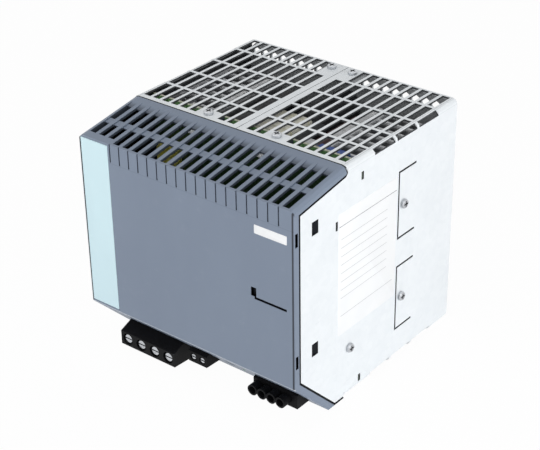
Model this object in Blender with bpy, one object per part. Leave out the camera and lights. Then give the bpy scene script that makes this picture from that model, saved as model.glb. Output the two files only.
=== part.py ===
"""DIN rail power supply: slotted sheet housing, plastic front hood, screw terminals, boards and rail clip.

Sizes are in millimetres. X runs to the right, Y runs from the front to the rail, Z runs up.
The layout counts Y from the front face; the finished part is centred on X and Y and stands on Z = 0.
"""

import math
from dataclasses import dataclass

import bmesh
import bpy
from mathutils import Vector

MM = 0.001

# Housing of two half shells
WIDTH = 150.0
HEIGHT = 145.0
DEPTH = 150.0
SHEET = 1.2
BEND_RADIUS = 3.5
BEND_STEPS = 3
BEND_RELIEF = 0.6
SEAM_GAP = 0.4
CLEAR = 0.3

# Front hood
FACE_DROP = 7.0
LOUVRE_RUN = 45.6
CHAMFER = 30.0
HOOD_WALL = 2.5
HOOD_ROOF = 1.8
HOOD_GAP = 0.7
MARGIN = 5.2
SHADOW_GAP = 0.8
SLOPE_EDGE_RADIUS = 4.0
FRONT_EDGE_RADIUS = 1.0
PLATE_CORNER = 1.4
LUG_ROOT = 8.0
LUG_RIM = 1.0
LUG_HEIGHT = 11.2
TOP_TAB_ROOT = 5.0
TOP_TAB_RIM = 2.5
TOP_TAB_WIDTH = 14.0

# Louvre slope of the hood
LOUVRE_PITCH = 6.87
LOUVRE_SLOT = 4.5
LOUVRE_SIDE_MARGIN = 4.0
LOUVRE_LOW_START = 1.5
LOUVRE_BAR = 4.5
LOUVRE_HIGH_LENGTH = 14.0
LOUVRE_RAMP = 6.0
LOUVRE_BACK_MARGIN = 4.1
LOUVRE_RECESS = 0.7
STRIP_COLUMN_START = 5.0
GROOVE_WIDTH = 0.9
GROOVE_DEPTH = 0.6
GROOVE_LENGTH = 11.0

# Accent strip and label pocket in the front face
STRIP_WIDTH = 20.2
STRIP_INSET = 1.5
STRIP_THICK = 0.6
POCKET_RIGHT_INSET = 5.0
POCKET_WIDTH = 23.8
POCKET_BOTTOM = 77.5
POCKET_HEIGHT = 7.0
POCKET_SLIT = 1.5
POCKET_HOOK_WIDTH = 3.6
POCKET_JOIN = 1.3
POCKET_DEPTH = 1.5

# Grille of the shells
SLOT_PITCH = 6.84
SLOT_WIDTH = 5.0
ROW_FRONT_MARGIN = 4.1
ROW_PITCH = 21.0
ROW_LENGTH = 19.0
BEND_SLOT_REACH = 3.3
ROW_BACK_MARGIN = 5.0
ROW_BACK_STRIP = 1.2

# Screws of the housing
SCREW_HEAD_RADIUS = 2.8
SCREW_HEAD_HEIGHT = 1.8
SCREW_SHANK_RADIUS = 1.45
SCREW_LENGTH = 6.0
SCREW_SLOT_WIDTH = 0.8
SCREW_SLOT_DEPTH = 0.8
RECESS_LENGTH = 3.7
RECESS_WIDTH = 0.9
RECESS_DEPTH = 1.0
SCREW_ROOM = 2.0
HEAD_TOP_SHARE = 0.8
HEAD_RIM_SHARE = 0.6
TOP_FRONT_SCREW_X = 24.0
TOP_FRONT_SCREW_INSET = 6.1
TOP_BACK_SCREW_X = 7.5
TOP_BACK_SCREW_INSET = 7.0
SIDE_SCREW_FROM_BACK = 52.0
SIDE_SCREW_FROM_TOP = 44.0
SIDE_SCREW_LOW_Z = 41.0
LUG_SCREW_INSET = 3.6
LUG_SCREW_Z = 32.0

# Features of the side plates
HOOK_Y = 14.8
HOOK_WIDTH = 5.5
HOOK_HEIGHT = 8.0
HOOK_FROM_TOP = 27.5
HOOK_LOW_Z = 43.3
HOOK_RISE = 0.2
HOOK_ROOT = 0.6
GRIP_SLOT_Y = 1.0
GRIP_SLOT_DROP = 0.7
GRIP_SLOT_WIDTH = 2.2
GRIP_SLOT_DEPTH = 1.5
TAB_SLIT_FROM_BACK = 8.7
TAB_SLIT_FROM_TOP = 34.0
TAB_HEIGHT = 5.5
TAB_THICK = 1.2
TONGUE_AHEAD = 5.0
TONGUE_LENGTH = 17.0
TONGUE_HEIGHT = 42.7
TONGUE_CUT = 1.2

# Boards
BOARD_THICK = 1.6
MAIN_BOARD_BEHIND_HOOD = 13.1
MAIN_BOARD_TOP_INSET = 3.0
BOARD_TAB_HEIGHT = 4.2
BOARD_TAB_FROM_TOP = 12.7
BOARD_TAB_LOW_Z = 4.0
CONNECTION_BOARD_GAP = 1.0
CONNECTION_BOARD_TOP = 60.0

# Parts on the main board
HEAT_SINK_PLATE = 3.0
HEAT_SINK_INNER = 4.5
FIN_PITCH = 9.0
FIN_THICK = 1.8
HEAT_SINK_BOTTOM = 6.0
HEAT_SINK_TOP_GAP = 11.0
SINK_FRONT_GAP = 1.7
SINK_BACK_GAP = 17.0
CORE_X = 7.0
CORE_WIDTH = 32.0
CORE_LENGTH = 37.0
CORE_HEIGHT = 18.0
CORE_YOKE = 6.0
CORE_LEG = 5.0
CORE_CENTRE_LEG = 9.0
CORE_FROM_TOP = 20.0
WINDING_HEIGHT = 27.0
WINDING_CORNER = 1.5
CAN_FROM_CORE = 7.0
CAN_FROM_SINK = 3.0
CAN_FROM_TOP = 21.0
CAN_RADIUS = 9.0
CAN_BACK_GAP = 22.5
CAN_LIP = 0.8
CAN_CRIMP = 5.0
SMALL_CAN_FROM_CORE = 0.7
SMALL_CAN_FROM_SINK = 1.7
SMALL_CAN_FROM_TOP = 18.0
SMALL_CAN_RADIUS = 5.8
SMALL_CAN_BACK_GAP = 28.5
BLUE_CAP_FROM_SINK = 1.5
BLUE_CAP_FROM_TOP = 8.0
BLUE_CAP_WIDTH = 19.0
BLUE_CAP_LENGTH = 12.0
BLUE_CAP_HEIGHT = 24.0
YELLOW_CAP_X = -57.5
YELLOW_CAP_FROM_TOP = 29.0
YELLOW_CAP_WIDTH = 11.0
YELLOW_CAP_LENGTH = 9.0
YELLOW_CAP_HEIGHT = 20.0
CHOKE_X = 0.5
CHOKE_FROM_TOP = 23.0
CHOKE_RADIUS = 10.0
CHOKE_FROM_CORE = 9.2

# Back plate and rail clip
BACK_THICK = 1.4
BACK_SET_IN = 0.2
BACK_HOLE_RADIUS = 3.1
BACK_HOLE_INSET = 7.0
BACK_FLANGE_WIDTH = 28.0
BACK_FLANGE_DEPTH = 12.0
RAIL_HEIGHT = 35.0
RAIL_Z = 80.0
RAIL_LIP_GAP = 1.5
RAIL_EDGE_GAP = 0.4
HOOK_LIP_THICK = 3.1
HOOK_LIP_OVERLAP = 3.0
HOOK_ROOF = 3.0
BRACKET_WIDTH = 80.0
BRACKET_THICK = 4.3
BRACKET_BELOW_RAIL = 16.5
SEAT_RELIEF = 0.4
SEAT_EDGE = 0.5
SLIDER_WIDTH = 23.4
SLIDER_THICK = 2.1
SLIDER_TRAVEL = 4.0
SLIDER_BOTTOM = 8.0
SLIDER_TOP_ABOVE = 11.5
SLIDER_FOOT = 6.1
SLIDER_SLOT_WIDTH = 8.0
SLIDER_SLOT_HEIGHT = 3.0
SLIDER_SLOT_UP = 3.0
BRACKET_SCREW_INSET = 8.0
BRACKET_SCREW_DROP = 8.5

# Trimmer and status light in the bottom slope
TRIMMER_Z = 17.5
TRIMMER_BODY = 9.5
TRIMMER_LENGTH = 8.0
ROTOR_RADIUS = 2.9
ROTOR_HEAD = 6.0
ROTOR_PIN_RADIUS = 1.5
ROTOR_PIN_LENGTH = 4.0
LENS_RADIUS = 1.5
LENS_LENGTH = 17.7
LENS_TIP = 1.0
LENS_TIP_SHARE = 0.6


@dataclass(frozen=True)
class Terminal:
    """One screw terminal block with its captive screws and clamp cages."""

    name: str
    poles: int
    pitch: float
    left: float
    right: float
    first: float
    face_y: float
    axis_z: float
    bottom_front: float
    bottom_back: float
    top_front: float
    top_back: float
    top_back_y: float
    body_y: float
    bore_radius: float
    head_radius: float
    head_height: float
    head_recess: float
    shank_radius: float
    shoulder: float
    travel: float
    wall: float
    side_wall: float
    tongue: float
    tongue_gap: float
    wire: float
    partition: float
    cage_height: float
    tube_radius: float

    def pole_x(self, pole: int) -> float:
        return self.first + pole * self.pitch

    def chamber_width(self) -> float:
        return self.pitch - self.partition

    def cage_width(self) -> float:
        return self.chamber_width() - 2 * CLEAR

    def window(self) -> float:
        return self.cage_width() - 2 * self.side_wall

    def tongue_width(self) -> float:
        return self.window() - self.tongue_gap

    def head_front(self) -> float:
        return self.face_y + self.head_recess

    def chamber_front(self) -> float:
        return self.head_front() + self.head_height + CLEAR + self.shoulder

    def cage_front(self) -> float:
        return self.chamber_front() + CLEAR + self.travel

    def tongue_front(self) -> float:
        return self.cage_front() + self.wall + CLEAR

    def wire_front(self) -> float:
        return self.tongue_front() + self.tongue

    def wire_back(self) -> float:
        return self.wire_front() + self.wire

    def cage_back(self) -> float:
        return self.wire_back() + self.wall

    def chamber_back(self) -> float:
        return self.cage_back() + CLEAR

    def cage_top(self) -> float:
        return self.axis_z + self.cage_height / 2

    def chamber_top(self) -> float:
        return self.cage_top() + CLEAR

    def back(self) -> float:
        return CONNECTION_BOARD_Y - CLEAR

    def outline(self) -> list:
        return [
            (self.body_y, self.bottom_front),
            (self.body_y, self.top_front),
            (self.top_back_y, self.top_back),
            (self.back(), self.top_back),
            (self.back(), self.bottom_back),
            (self.back() - SLOPE_KEEP, self.bottom_back),
        ]


# Terminal row in the bottom slope; what the width leaves free is shared out in proportion to the gaps
SLOPE_KEEP = 5.7
OUTPUT_PITCH = 10.5
OUTPUT_POLES = 4
OUTPUT_END = 5.1
SIGNAL_PITCH = 6.6
SIGNAL_POLES = 2
SIGNAL_END = 3.4
INPUT_PITCH = 6.45
INPUT_POLES = 4
INPUT_LEFT_END = 3.9
INPUT_RIGHT_END = 7.4
INPUT_FROM_RIGHT = 6.2
OUTPUT_GAP = 17.8
SIGNAL_GAP = 7.7
TRIMMER_GAP = 8.8
LENS_GAP = 3.75
INPUT_GAP = 7.5
OUTPUT_WIDTH = 2 * OUTPUT_END + (OUTPUT_POLES - 1) * OUTPUT_PITCH
SIGNAL_WIDTH = 2 * SIGNAL_END + (SIGNAL_POLES - 1) * SIGNAL_PITCH
INPUT_WIDTH = INPUT_LEFT_END + INPUT_RIGHT_END + (INPUT_POLES - 1) * INPUT_PITCH
ROW_PIECES = OUTPUT_WIDTH + SIGNAL_WIDTH + TRIMMER_BODY + 2 * LENS_RADIUS + INPUT_WIDTH
ROW_GAPS = OUTPUT_GAP + SIGNAL_GAP + TRIMMER_GAP + LENS_GAP + INPUT_GAP
SQUEEZE = (WIDTH - INPUT_FROM_RIGHT - ROW_PIECES) / ROW_GAPS
OUTPUT_LEFT = SQUEEZE * OUTPUT_GAP - WIDTH / 2
OUTPUT_RIGHT = OUTPUT_LEFT + OUTPUT_WIDTH
SIGNAL_LEFT = OUTPUT_RIGHT + SQUEEZE * SIGNAL_GAP
SIGNAL_RIGHT = SIGNAL_LEFT + SIGNAL_WIDTH
TRIMMER_X = SIGNAL_RIGHT + SQUEEZE * TRIMMER_GAP + TRIMMER_BODY / 2
LENS_X = TRIMMER_X + TRIMMER_BODY / 2 + SQUEEZE * LENS_GAP + LENS_RADIUS
INPUT_RIGHT = WIDTH / 2 - INPUT_FROM_RIGHT
INPUT_LEFT = INPUT_RIGHT - INPUT_WIDTH

OUTPUT = Terminal(
    name="output",
    poles=OUTPUT_POLES,
    pitch=OUTPUT_PITCH,
    left=OUTPUT_LEFT,
    right=OUTPUT_RIGHT,
    first=OUTPUT_LEFT + OUTPUT_END,
    face_y=4.0,
    axis_z=9.2,
    bottom_front=4.6,
    bottom_back=3.2,
    top_front=13.6,
    top_back=19.9,
    top_back_y=20.0,
    body_y=4.0,
    bore_radius=3.7,
    head_radius=3.3,
    head_height=2.4,
    head_recess=0.9,
    shank_radius=1.9,
    shoulder=3.0,
    travel=3.2,
    wall=1.4,
    side_wall=0.8,
    tongue=1.2,
    tongue_gap=1.0,
    wire=5.5,
    partition=1.9,
    cage_height=6.4,
    tube_radius=0.0,
)
SIGNAL = Terminal(
    name="signal",
    poles=SIGNAL_POLES,
    pitch=SIGNAL_PITCH,
    left=SIGNAL_LEFT,
    right=SIGNAL_RIGHT,
    first=SIGNAL_LEFT + SIGNAL_END,
    face_y=8.0,
    axis_z=14.4,
    bottom_front=10.9,
    bottom_back=10.2,
    top_front=17.8,
    top_back=19.6,
    top_back_y=12.0,
    body_y=8.0,
    bore_radius=2.2,
    head_radius=1.9,
    head_height=1.6,
    head_recess=0.5,
    shank_radius=1.0,
    shoulder=0.8,
    travel=1.2,
    wall=0.8,
    side_wall=0.5,
    tongue=0.8,
    tongue_gap=0.8,
    wire=4.2,
    partition=0.8,
    cage_height=4.4,
    tube_radius=0.0,
)
INPUT = Terminal(
    name="input",
    poles=INPUT_POLES,
    pitch=INPUT_PITCH,
    left=INPUT_LEFT,
    right=INPUT_RIGHT,
    first=INPUT_LEFT + INPUT_LEFT_END,
    face_y=4.0,
    axis_z=13.9,
    bottom_front=9.3,
    bottom_back=9.3,
    top_front=17.8,
    top_back=19.7,
    top_back_y=14.0,
    body_y=10.0,
    bore_radius=2.3,
    head_radius=1.9,
    head_height=1.6,
    head_recess=3.0,
    shank_radius=1.0,
    shoulder=1.2,
    travel=1.6,
    wall=0.8,
    side_wall=0.5,
    tongue=0.8,
    tongue_gap=0.8,
    wire=4.2,
    partition=0.65,
    cage_height=4.6,
    tube_radius=3.3,
)
TERMINALS = (OUTPUT, SIGNAL, INPUT)
BUS_THICK = 1.2
LEG_THICK = 0.8

# Values that follow from the sizes above
HALF = WIDTH / 2
INSIDE = HALF - SHEET
FACE_TOP = HEIGHT - FACE_DROP
SLOPE = math.atan2(FACE_DROP, LOUVRE_RUN)
HOOD_BACK = LOUVRE_RUN - HOOD_GAP
HOOD_OUTSIDE = INSIDE - CLEAR
HOOD_INSIDE = HOOD_OUTSIDE - HOOD_WALL
LOUVRE_RAMP_END = LOUVRE_RUN - LOUVRE_BACK_MARGIN
LOUVRE_HIGH_END = LOUVRE_RAMP_END - LOUVRE_RAMP
LOUVRE_HIGH_START = LOUVRE_HIGH_END - LOUVRE_HIGH_LENGTH
LOUVRE_LOW_END = LOUVRE_HIGH_START - LOUVRE_BAR
TOP_FRONT_SCREW_Y = HOOD_BACK + TOP_FRONT_SCREW_INSET
TOP_BACK_SCREW_Y = DEPTH - TOP_BACK_SCREW_INSET
SIDE_SCREW_Y = DEPTH - SIDE_SCREW_FROM_BACK
SIDE_SCREW_HIGH_Z = HEIGHT - SIDE_SCREW_FROM_TOP
LUG_SCREW_Y = HOOD_BACK + LUG_SCREW_INSET
HOOK_HIGH_Z = HEIGHT - HOOK_FROM_TOP
TAB_SLIT_Y = HOOD_BACK - TAB_SLIT_FROM_BACK
TAB_SLIT_Z = HEIGHT - TAB_SLIT_FROM_TOP
TONGUE_FRONT = SIDE_SCREW_Y - TONGUE_AHEAD
CONNECTION_BOARD_Y = CHAMFER + CONNECTION_BOARD_GAP
MAIN_BOARD_Y = HOOD_BACK + MAIN_BOARD_BEHIND_HOOD
BOARD_BACK = MAIN_BOARD_Y + BOARD_THICK
BOARD_SEAT = BOARD_BACK + CLEAR
BOARD_TAB_HIGH_Z = HEIGHT - BOARD_TAB_FROM_TOP
BACK_FRONT = DEPTH - BACK_SET_IN - BACK_THICK
CAN_X = CORE_X - CORE_WIDTH / 2 - CAN_FROM_CORE - CAN_RADIUS
SMALL_CAN_X = CORE_X + CORE_WIDTH / 2 + SMALL_CAN_FROM_CORE + SMALL_CAN_RADIUS
LEFT_SINK_INNER = CAN_RADIUS + CAN_FROM_SINK - CAN_X
RIGHT_SINK_INNER = SMALL_CAN_X + SMALL_CAN_RADIUS + SMALL_CAN_FROM_SINK
SINK_INNER = {"left": LEFT_SINK_INNER, "right": RIGHT_SINK_INNER}
BLUE_CAP_X = RIGHT_SINK_INNER + BLUE_CAP_FROM_SINK + BLUE_CAP_WIDTH / 2
BACK_FACE = DEPTH - BACK_SET_IN
BRACKET_FRONT = BACK_FACE + CLEAR
SEAT = BRACKET_FRONT + BRACKET_THICK
BRACKET_FACE = SEAT - SEAT_RELIEF
CLIP_BACK = SEAT + RAIL_LIP_GAP + HOOK_LIP_THICK
MIDDLE = CLIP_BACK / 2
RAIL_TOP = RAIL_Z + RAIL_HEIGHT / 2
RAIL_BOTTOM = RAIL_Z - RAIL_HEIGHT / 2
BRACKET_SCREW_X = BRACKET_WIDTH / 2 - BRACKET_SCREW_INSET
BRACKET_SCREW_Z = RAIL_BOTTOM - BRACKET_SCREW_DROP
HOLE_RADIUS = SCREW_SHANK_RADIUS + CLEAR
SIDES = {"left": -1, "right": 1}


def louvre_z(y):
    """Height of the louvre slope's surface at a depth."""
    return FACE_TOP + math.tan(SLOPE) * y


def join(*shapes):
    """One list of points and faces from several."""
    points = []
    faces = []
    for more_points, more_faces in shapes:
        start = len(points)
        points.extend(more_points)
        faces.extend([tuple(start + i for i in face) for face in more_faces])
    return points, faces


def prism(axis, outline, start, end):
    """Closed prism of an outline in the plane across an axis."""
    order = {
        "x": lambda a, u, v: (a, u, v),
        "y": lambda a, u, v: (u, a, v),
        "z": lambda a, u, v: (u, v, a),
    }[axis]
    count = len(outline)
    points = [order(start, u, v) for u, v in outline]
    points += [order(end, u, v) for u, v in outline]
    faces = [tuple(range(count)), tuple(range(2 * count - 1, count - 1, -1))]
    for i in range(count):
        k = (i + 1) % count
        faces.append((i, i + count, k + count, k))
    return points, faces


def box(x, y, z):
    """Closed box from three ranges."""
    outline = [(x[0], y[0]), (x[1], y[0]), (x[1], y[1]), (x[0], y[1])]
    return prism("z", outline, z[0], z[1])


def cornered(wide, tall, low, high):
    """Upright outline with its bottom and top corners cut off."""
    (left, right), (bottom, top) = wide, tall
    outline = [(left + low, bottom), (right - low, bottom), (right, bottom + low)]
    outline += [(right, top - high), (right - high, top)] if high else [(right, top)]
    outline += [(left + high, top), (left, top - high)] if high else [(left, top)]
    return outline + [(left, bottom + low)]


def span(centre, size):
    """Range of a size about its centre."""
    return (centre - size / 2, centre + size / 2)


def sided(side, inner, outer):
    """Range in X on one side of the middle."""
    return tuple(sorted((side * inner, side * outer)))


def circle(centre, radius, count):
    """Regular outline about a centre."""
    turn = 2 * math.pi / count
    return [
        (centre[0] + radius * math.cos(turn * (i + 0.5)), centre[1] + radius * math.sin(turn * (i + 0.5)))
        for i in range(count)
    ]


def turned(axis, centre, profile, count):
    """Closed turned body from radius and position pairs along an axis."""
    points = []
    faces = []
    order = {
        "x": lambda a, u, v: (a, u, v),
        "y": lambda a, u, v: (u, a, v),
        "z": lambda a, u, v: (u, v, a),
    }[axis]
    for radius, along in profile:
        points += [order(along, u, v) for u, v in circle(centre, radius, count)]
    for ring in range(len(profile) - 1):
        for i in range(count):
            k = (i + 1) % count
            low = ring * count
            faces.append((low + i, low + k, low + count + k, low + count + i))
    faces.append(tuple(range(count)))
    last = (len(profile) - 1) * count
    faces.append(tuple(range(last, last + count)))
    return points, faces


def inset(outline, distances):
    """Outline moved inwards by one distance for each edge."""
    count = len(outline)
    area = sum(
        outline[i][0] * outline[(i + 1) % count][1] - outline[(i + 1) % count][0] * outline[i][1]
        for i in range(count)
    )
    turn = 1 if area > 0 else -1
    lines = []
    for i in range(count):
        (u0, v0), (u1, v1) = outline[i], outline[(i + 1) % count]
        length = math.hypot(u1 - u0, v1 - v0)
        normal = (-(v1 - v0) / length * turn, (u1 - u0) / length * turn)
        lines.append((normal, normal[0] * u0 + normal[1] * v0 + distances[i]))
    moved = []
    for i in range(count):
        (a, p), (b, q) = lines[i - 1], lines[i]
        det = a[0] * b[1] - a[1] * b[0]
        if abs(det) < 1e-6:
            u, v = outline[i]
            moved.append((u + b[0] * distances[i], v + b[1] * distances[i]))
        else:
            moved.append(((p * b[1] - q * a[1]) / det, (a[0] * q - b[0] * p) / det))
    return moved


def material(name, colour, roughness, metallic):
    """Principled material of one piece."""
    made = bpy.data.materials.new(name)
    made.use_nodes = True
    shader = made.node_tree.nodes["Principled BSDF"]
    shader.inputs["Base Color"].default_value = (*colour, 1.0)
    shader.inputs["Roughness"].default_value = roughness
    shader.inputs["Metallic"].default_value = metallic
    return made


def mesh_of(name, shape, origin):
    """Mesh in metres about an origin, with its faces turned outwards."""
    shaped = bmesh.new()
    made = []
    for x, y, z in shape[0]:
        place = Vector((x, y - MIDDLE, z)) - origin
        made.append(shaped.verts.new(place * MM))
    for face in shape[1]:
        shaped.faces.new([made[i] for i in face])
    bmesh.ops.recalc_face_normals(shaped, faces=shaped.faces)
    mesh = bpy.data.meshes.new(name)
    shaped.to_mesh(mesh)
    shaped.free()
    return mesh


def place(name, shape, finish=None, pivot=None):
    """Object of one shape; a moving piece has its origin at its pivot."""
    origin = Vector((0.0, 0.0, 0.0))
    if pivot is not None:
        origin = Vector((pivot[0], pivot[1] - MIDDLE, pivot[2]))
    made = bpy.data.objects.new(name, mesh_of(name, shape, origin))
    made.location = origin * MM
    bpy.context.scene.collection.objects.link(made)
    if finish is not None:
        made.data.materials.append(finish)
    return made


def combine(target, operation, *shapes):
    """Boolean of hidden helper shapes on a piece."""
    helper = place(f"{target.name}_{operation.lower()}_{len(target.modifiers)}", join(*shapes))
    helper.hide_render = True
    helper.display_type = "WIRE"
    change = target.modifiers.new(helper.name, "BOOLEAN")
    change.operation = operation
    change.solver = "EXACT"
    change.object = helper


def cut(target, *shapes):
    combine(target, "DIFFERENCE", *shapes)


def add(target, *shapes):
    combine(target, "UNION", *shapes)


def clear_scene():
    for old in list(bpy.data.objects):
        bpy.data.objects.remove(old, do_unlink=True)


def plate_outline():
    """Side plate seen from the side, run past the top, bottom and back."""
    past = 5.0
    step = SHEET + CLEAR
    chamfer = CHAMFER + MARGIN * math.sqrt(2)
    drop = MARGIN / math.cos(SLOPE)
    top_front = LOUVRE_RUN
    floor_front = LOUVRE_RUN - HOOD_GAP
    return [
        (MARGIN, chamfer - MARGIN),
        (MARGIN, louvre_z(MARGIN) - drop),
        (top_front - PLATE_CORNER, louvre_z(top_front - PLATE_CORNER) - drop),
        (top_front, louvre_z(top_front) - drop + PLATE_CORNER),
        (top_front, HEIGHT + past),
        (DEPTH + past, HEIGHT + past),
        (DEPTH + past, -past),
        (floor_front, -past),
        (floor_front, step),
        (chamfer - step, step),
    ]


def bend_profile(side):
    """Section of one half shell across the depth: half top, side and half bottom."""
    outer = []
    inner = []
    for corner_z, first in ((HEIGHT - BEND_RADIUS, 90.0), (BEND_RADIUS, 0.0)):
        for i in range(BEND_STEPS + 1):
            turn = math.radians(first - 90.0 * i / BEND_STEPS)
            for radius, rim in ((BEND_RADIUS, outer), (BEND_RADIUS - SHEET, inner)):
                x = HALF - BEND_RADIUS + radius * math.cos(turn)
                rim.append((side * x, corner_z + radius * math.sin(turn)))
    seam = side * SEAM_GAP / 2
    return (
        [(seam, HEIGHT)] + outer + [(seam, 0.0), (seam, SHEET)] + inner[::-1] + [(seam, HEIGHT - SHEET)]
    )


def grille_rows():
    """Start and end in Y of each full row of slots, and the start of the short last row."""
    rows = []
    start = HOOD_BACK + ROW_FRONT_MARGIN
    while start + ROW_LENGTH < DEPTH - ROW_BACK_MARGIN:
        rows.append((start, start + ROW_LENGTH))
        start += ROW_PITCH
    return rows, start


def grille_columns():
    """Distance of each column of slots from the middle."""
    columns = []
    place_x = SLOT_PITCH
    while place_x + SLOT_WIDTH / 2 < HALF - BEND_RADIUS:
        columns.append(place_x)
        place_x += SLOT_PITCH
    return columns


def grille(side):
    """Slots through the top and bottom of one half shell."""
    rows, last = grille_rows()
    past = 2.0
    top = (HEIGHT - SHEET - past, HEIGHT + past)
    bottom = (-past, SHEET + past)
    keep = SCREW_HEAD_RADIUS + SCREW_ROOM
    reach = SCREW_HEAD_RADIUS + SLOT_WIDTH / 2
    shapes = []
    for x in grille_columns():
        wide = span(side * x, SLOT_WIDTH)
        near_front = abs(x - TOP_FRONT_SCREW_X) < reach
        near_back = abs(x - TOP_BACK_SCREW_X) < reach
        for start, end in rows:
            shapes.append(box(wide, (start, end), bottom))
            if near_front:
                start = max(start, TOP_FRONT_SCREW_Y + keep)
            if near_back:
                end = min(end, TOP_BACK_SCREW_Y - keep)
            shapes.append(box(wide, (start, end), top))
        if not near_back and last + SLOT_WIDTH < DEPTH - ROW_BACK_STRIP:
            shapes.append(box(wide, (last, DEPTH - ROW_BACK_STRIP), top))
    edge = sided(side, HALF - SLOT_WIDTH / 2, HALF + past)
    for start, end in rows[1:]:
        shapes.append(box(edge, (start, end), (HEIGHT - BEND_SLOT_REACH, HEIGHT + past)))
        shapes.append(box(edge, (start, end), (-past, BEND_SLOT_REACH)))
    return shapes


def side_openings(side):
    """Holes and slits of one side plate."""
    through = sided(side, INSIDE - 1.0, HALF + 1.0)
    shapes = []
    for z in (HOOK_HIGH_Z, HOOK_LOW_Z):
        shapes.append(box(through, (HOOK_Y, HOOK_Y + HOOK_WIDTH), (z, z + HOOK_HEIGHT)))
    tab = TAB_THICK + 2 * CLEAR
    shapes.append(box(through, span(TAB_SLIT_Y, tab), (TAB_SLIT_Z, TAB_SLIT_Z + TAB_HEIGHT)))
    board = (MAIN_BOARD_Y - CLEAR, BOARD_BACK + CLEAR)
    for z in (BOARD_TAB_HIGH_Z, BOARD_TAB_LOW_Z):
        shapes.append(box(through, board, (z - CLEAR, z + BOARD_TAB_HEIGHT + CLEAR)))
    for z in (SIDE_SCREW_HIGH_Z, SIDE_SCREW_LOW_Z):
        low = z - TONGUE_HEIGHT / 2
        high = z + TONGUE_HEIGHT / 2
        back = TONGUE_FRONT + TONGUE_LENGTH
        c_cut = [
            (back, low),
            (TONGUE_FRONT, low),
            (TONGUE_FRONT, high),
            (back, high),
            (back, high - TONGUE_CUT),
            (TONGUE_FRONT + TONGUE_CUT, high - TONGUE_CUT),
            (TONGUE_FRONT + TONGUE_CUT, low + TONGUE_CUT),
            (back, low + TONGUE_CUT),
        ]
        shapes.append(prism("x", c_cut, *through))
        shapes.append(prism("x", circle((SIDE_SCREW_Y, z), HOLE_RADIUS, 12), *through))
    shapes.append(prism("x", circle((LUG_SCREW_Y, LUG_SCREW_Z), HOLE_RADIUS, 12), *through))
    return shapes


def top_holes(side):
    """Screw holes in the top of one half shell."""
    through = (HEIGHT - SHEET - 1.0, HEIGHT + 1.0)
    front = (side * TOP_FRONT_SCREW_X, TOP_FRONT_SCREW_Y)
    back = (side * TOP_BACK_SCREW_X, TOP_BACK_SCREW_Y)
    return [prism("z", circle(centre, HOLE_RADIUS, 12), *through) for centre in (front, back)]


def build_shell(name, side, finish):
    """Half shell: side plate with half of the top and of the bottom."""
    shell = place(f"{name}_shell", prism("y", bend_profile(side), HOOD_BACK, DEPTH), finish)
    relief = HOOD_BACK - BEND_RELIEF
    overlap = HOOD_BACK + BEND_RADIUS
    flat = [
        (0.0, -1.0),
        (relief, -1.0),
        (relief, BEND_RADIUS),
        (overlap, BEND_RADIUS),
        (overlap, HEIGHT - BEND_RADIUS),
        (0.0, HEIGHT - BEND_RADIUS),
    ]
    add(shell, prism("x", flat, *sided(side, INSIDE, HALF)))
    combine(shell, "INTERSECT", prism("x", plate_outline(), *sided(side, -5.0, HALF + 5.0)))
    cut(shell, *grille(side), *side_openings(side), *top_holes(side))
    return shell


def hood_outline():
    return [
        (0.0, CHAMFER),
        (0.0, FACE_TOP),
        (HOOD_BACK, louvre_z(HOOD_BACK)),
        (HOOD_BACK, 0.0),
        (CHAMFER, 0.0),
    ]


def round_edges(hood):
    """Rounds the hood's long side edges on the slope and its upright front edges."""
    shaped = bmesh.new()
    shaped.from_mesh(hood.data)
    front = -MIDDLE * MM
    back = (HOOD_BACK - MIDDLE) * MM
    low = CHAMFER * MM
    high = FACE_TOP * MM
    small = 0.1 * MM

    def side_edge(edge):
        a, b = (vert.co for vert in edge.verts)
        return abs(a.x - b.x) < small and abs(abs(a.x) - HALF * MM) < small

    def on_slope(edge):
        a, b = sorted((vert.co for vert in edge.verts), key=lambda co: co.y)
        return abs(a.y - front) < small and abs(b.y - back) < small and a.z > high - small

    picked = [edge for edge in shaped.edges if side_edge(edge) and on_slope(edge)]
    bmesh.ops.bevel(
        shaped, geom=picked, offset=SLOPE_EDGE_RADIUS * MM, segments=3, affect="EDGES", profile=0.5
    )

    def upright(edge):
        a, b = sorted((vert.co for vert in edge.verts), key=lambda co: co.z)
        straight = abs(a.y - front) < small and abs(b.y - front) < small
        return straight and abs(a.z - low) < small and b.z - a.z > FACE_TOP * MM / 2

    picked = [edge for edge in shaped.edges if upright(edge)]
    bmesh.ops.bevel(
        shaped, geom=picked, offset=FRONT_EDGE_RADIUS * MM, segments=2, affect="EDGES", profile=0.5
    )
    bmesh.ops.recalc_face_normals(shaped, faces=shaped.faces)
    shaped.to_mesh(hood.data)
    shaped.free()


def on_slope(along, up):
    """Layout point from a distance along the louvre slope and a height above it."""
    y = along * math.cos(SLOPE) - up * math.sin(SLOPE)
    z = FACE_TOP + along * math.sin(SLOPE) + up * math.cos(SLOPE)
    return (y, z)


def louvre_columns():
    """Middle of each column of louvres, as many as the width takes."""
    reach = HALF - LOUVRE_SIDE_MARGIN - LOUVRE_SLOT / 2
    beside = int(reach / LOUVRE_PITCH)
    return [LOUVRE_PITCH * k for k in range(-beside, beside + 1)]


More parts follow.
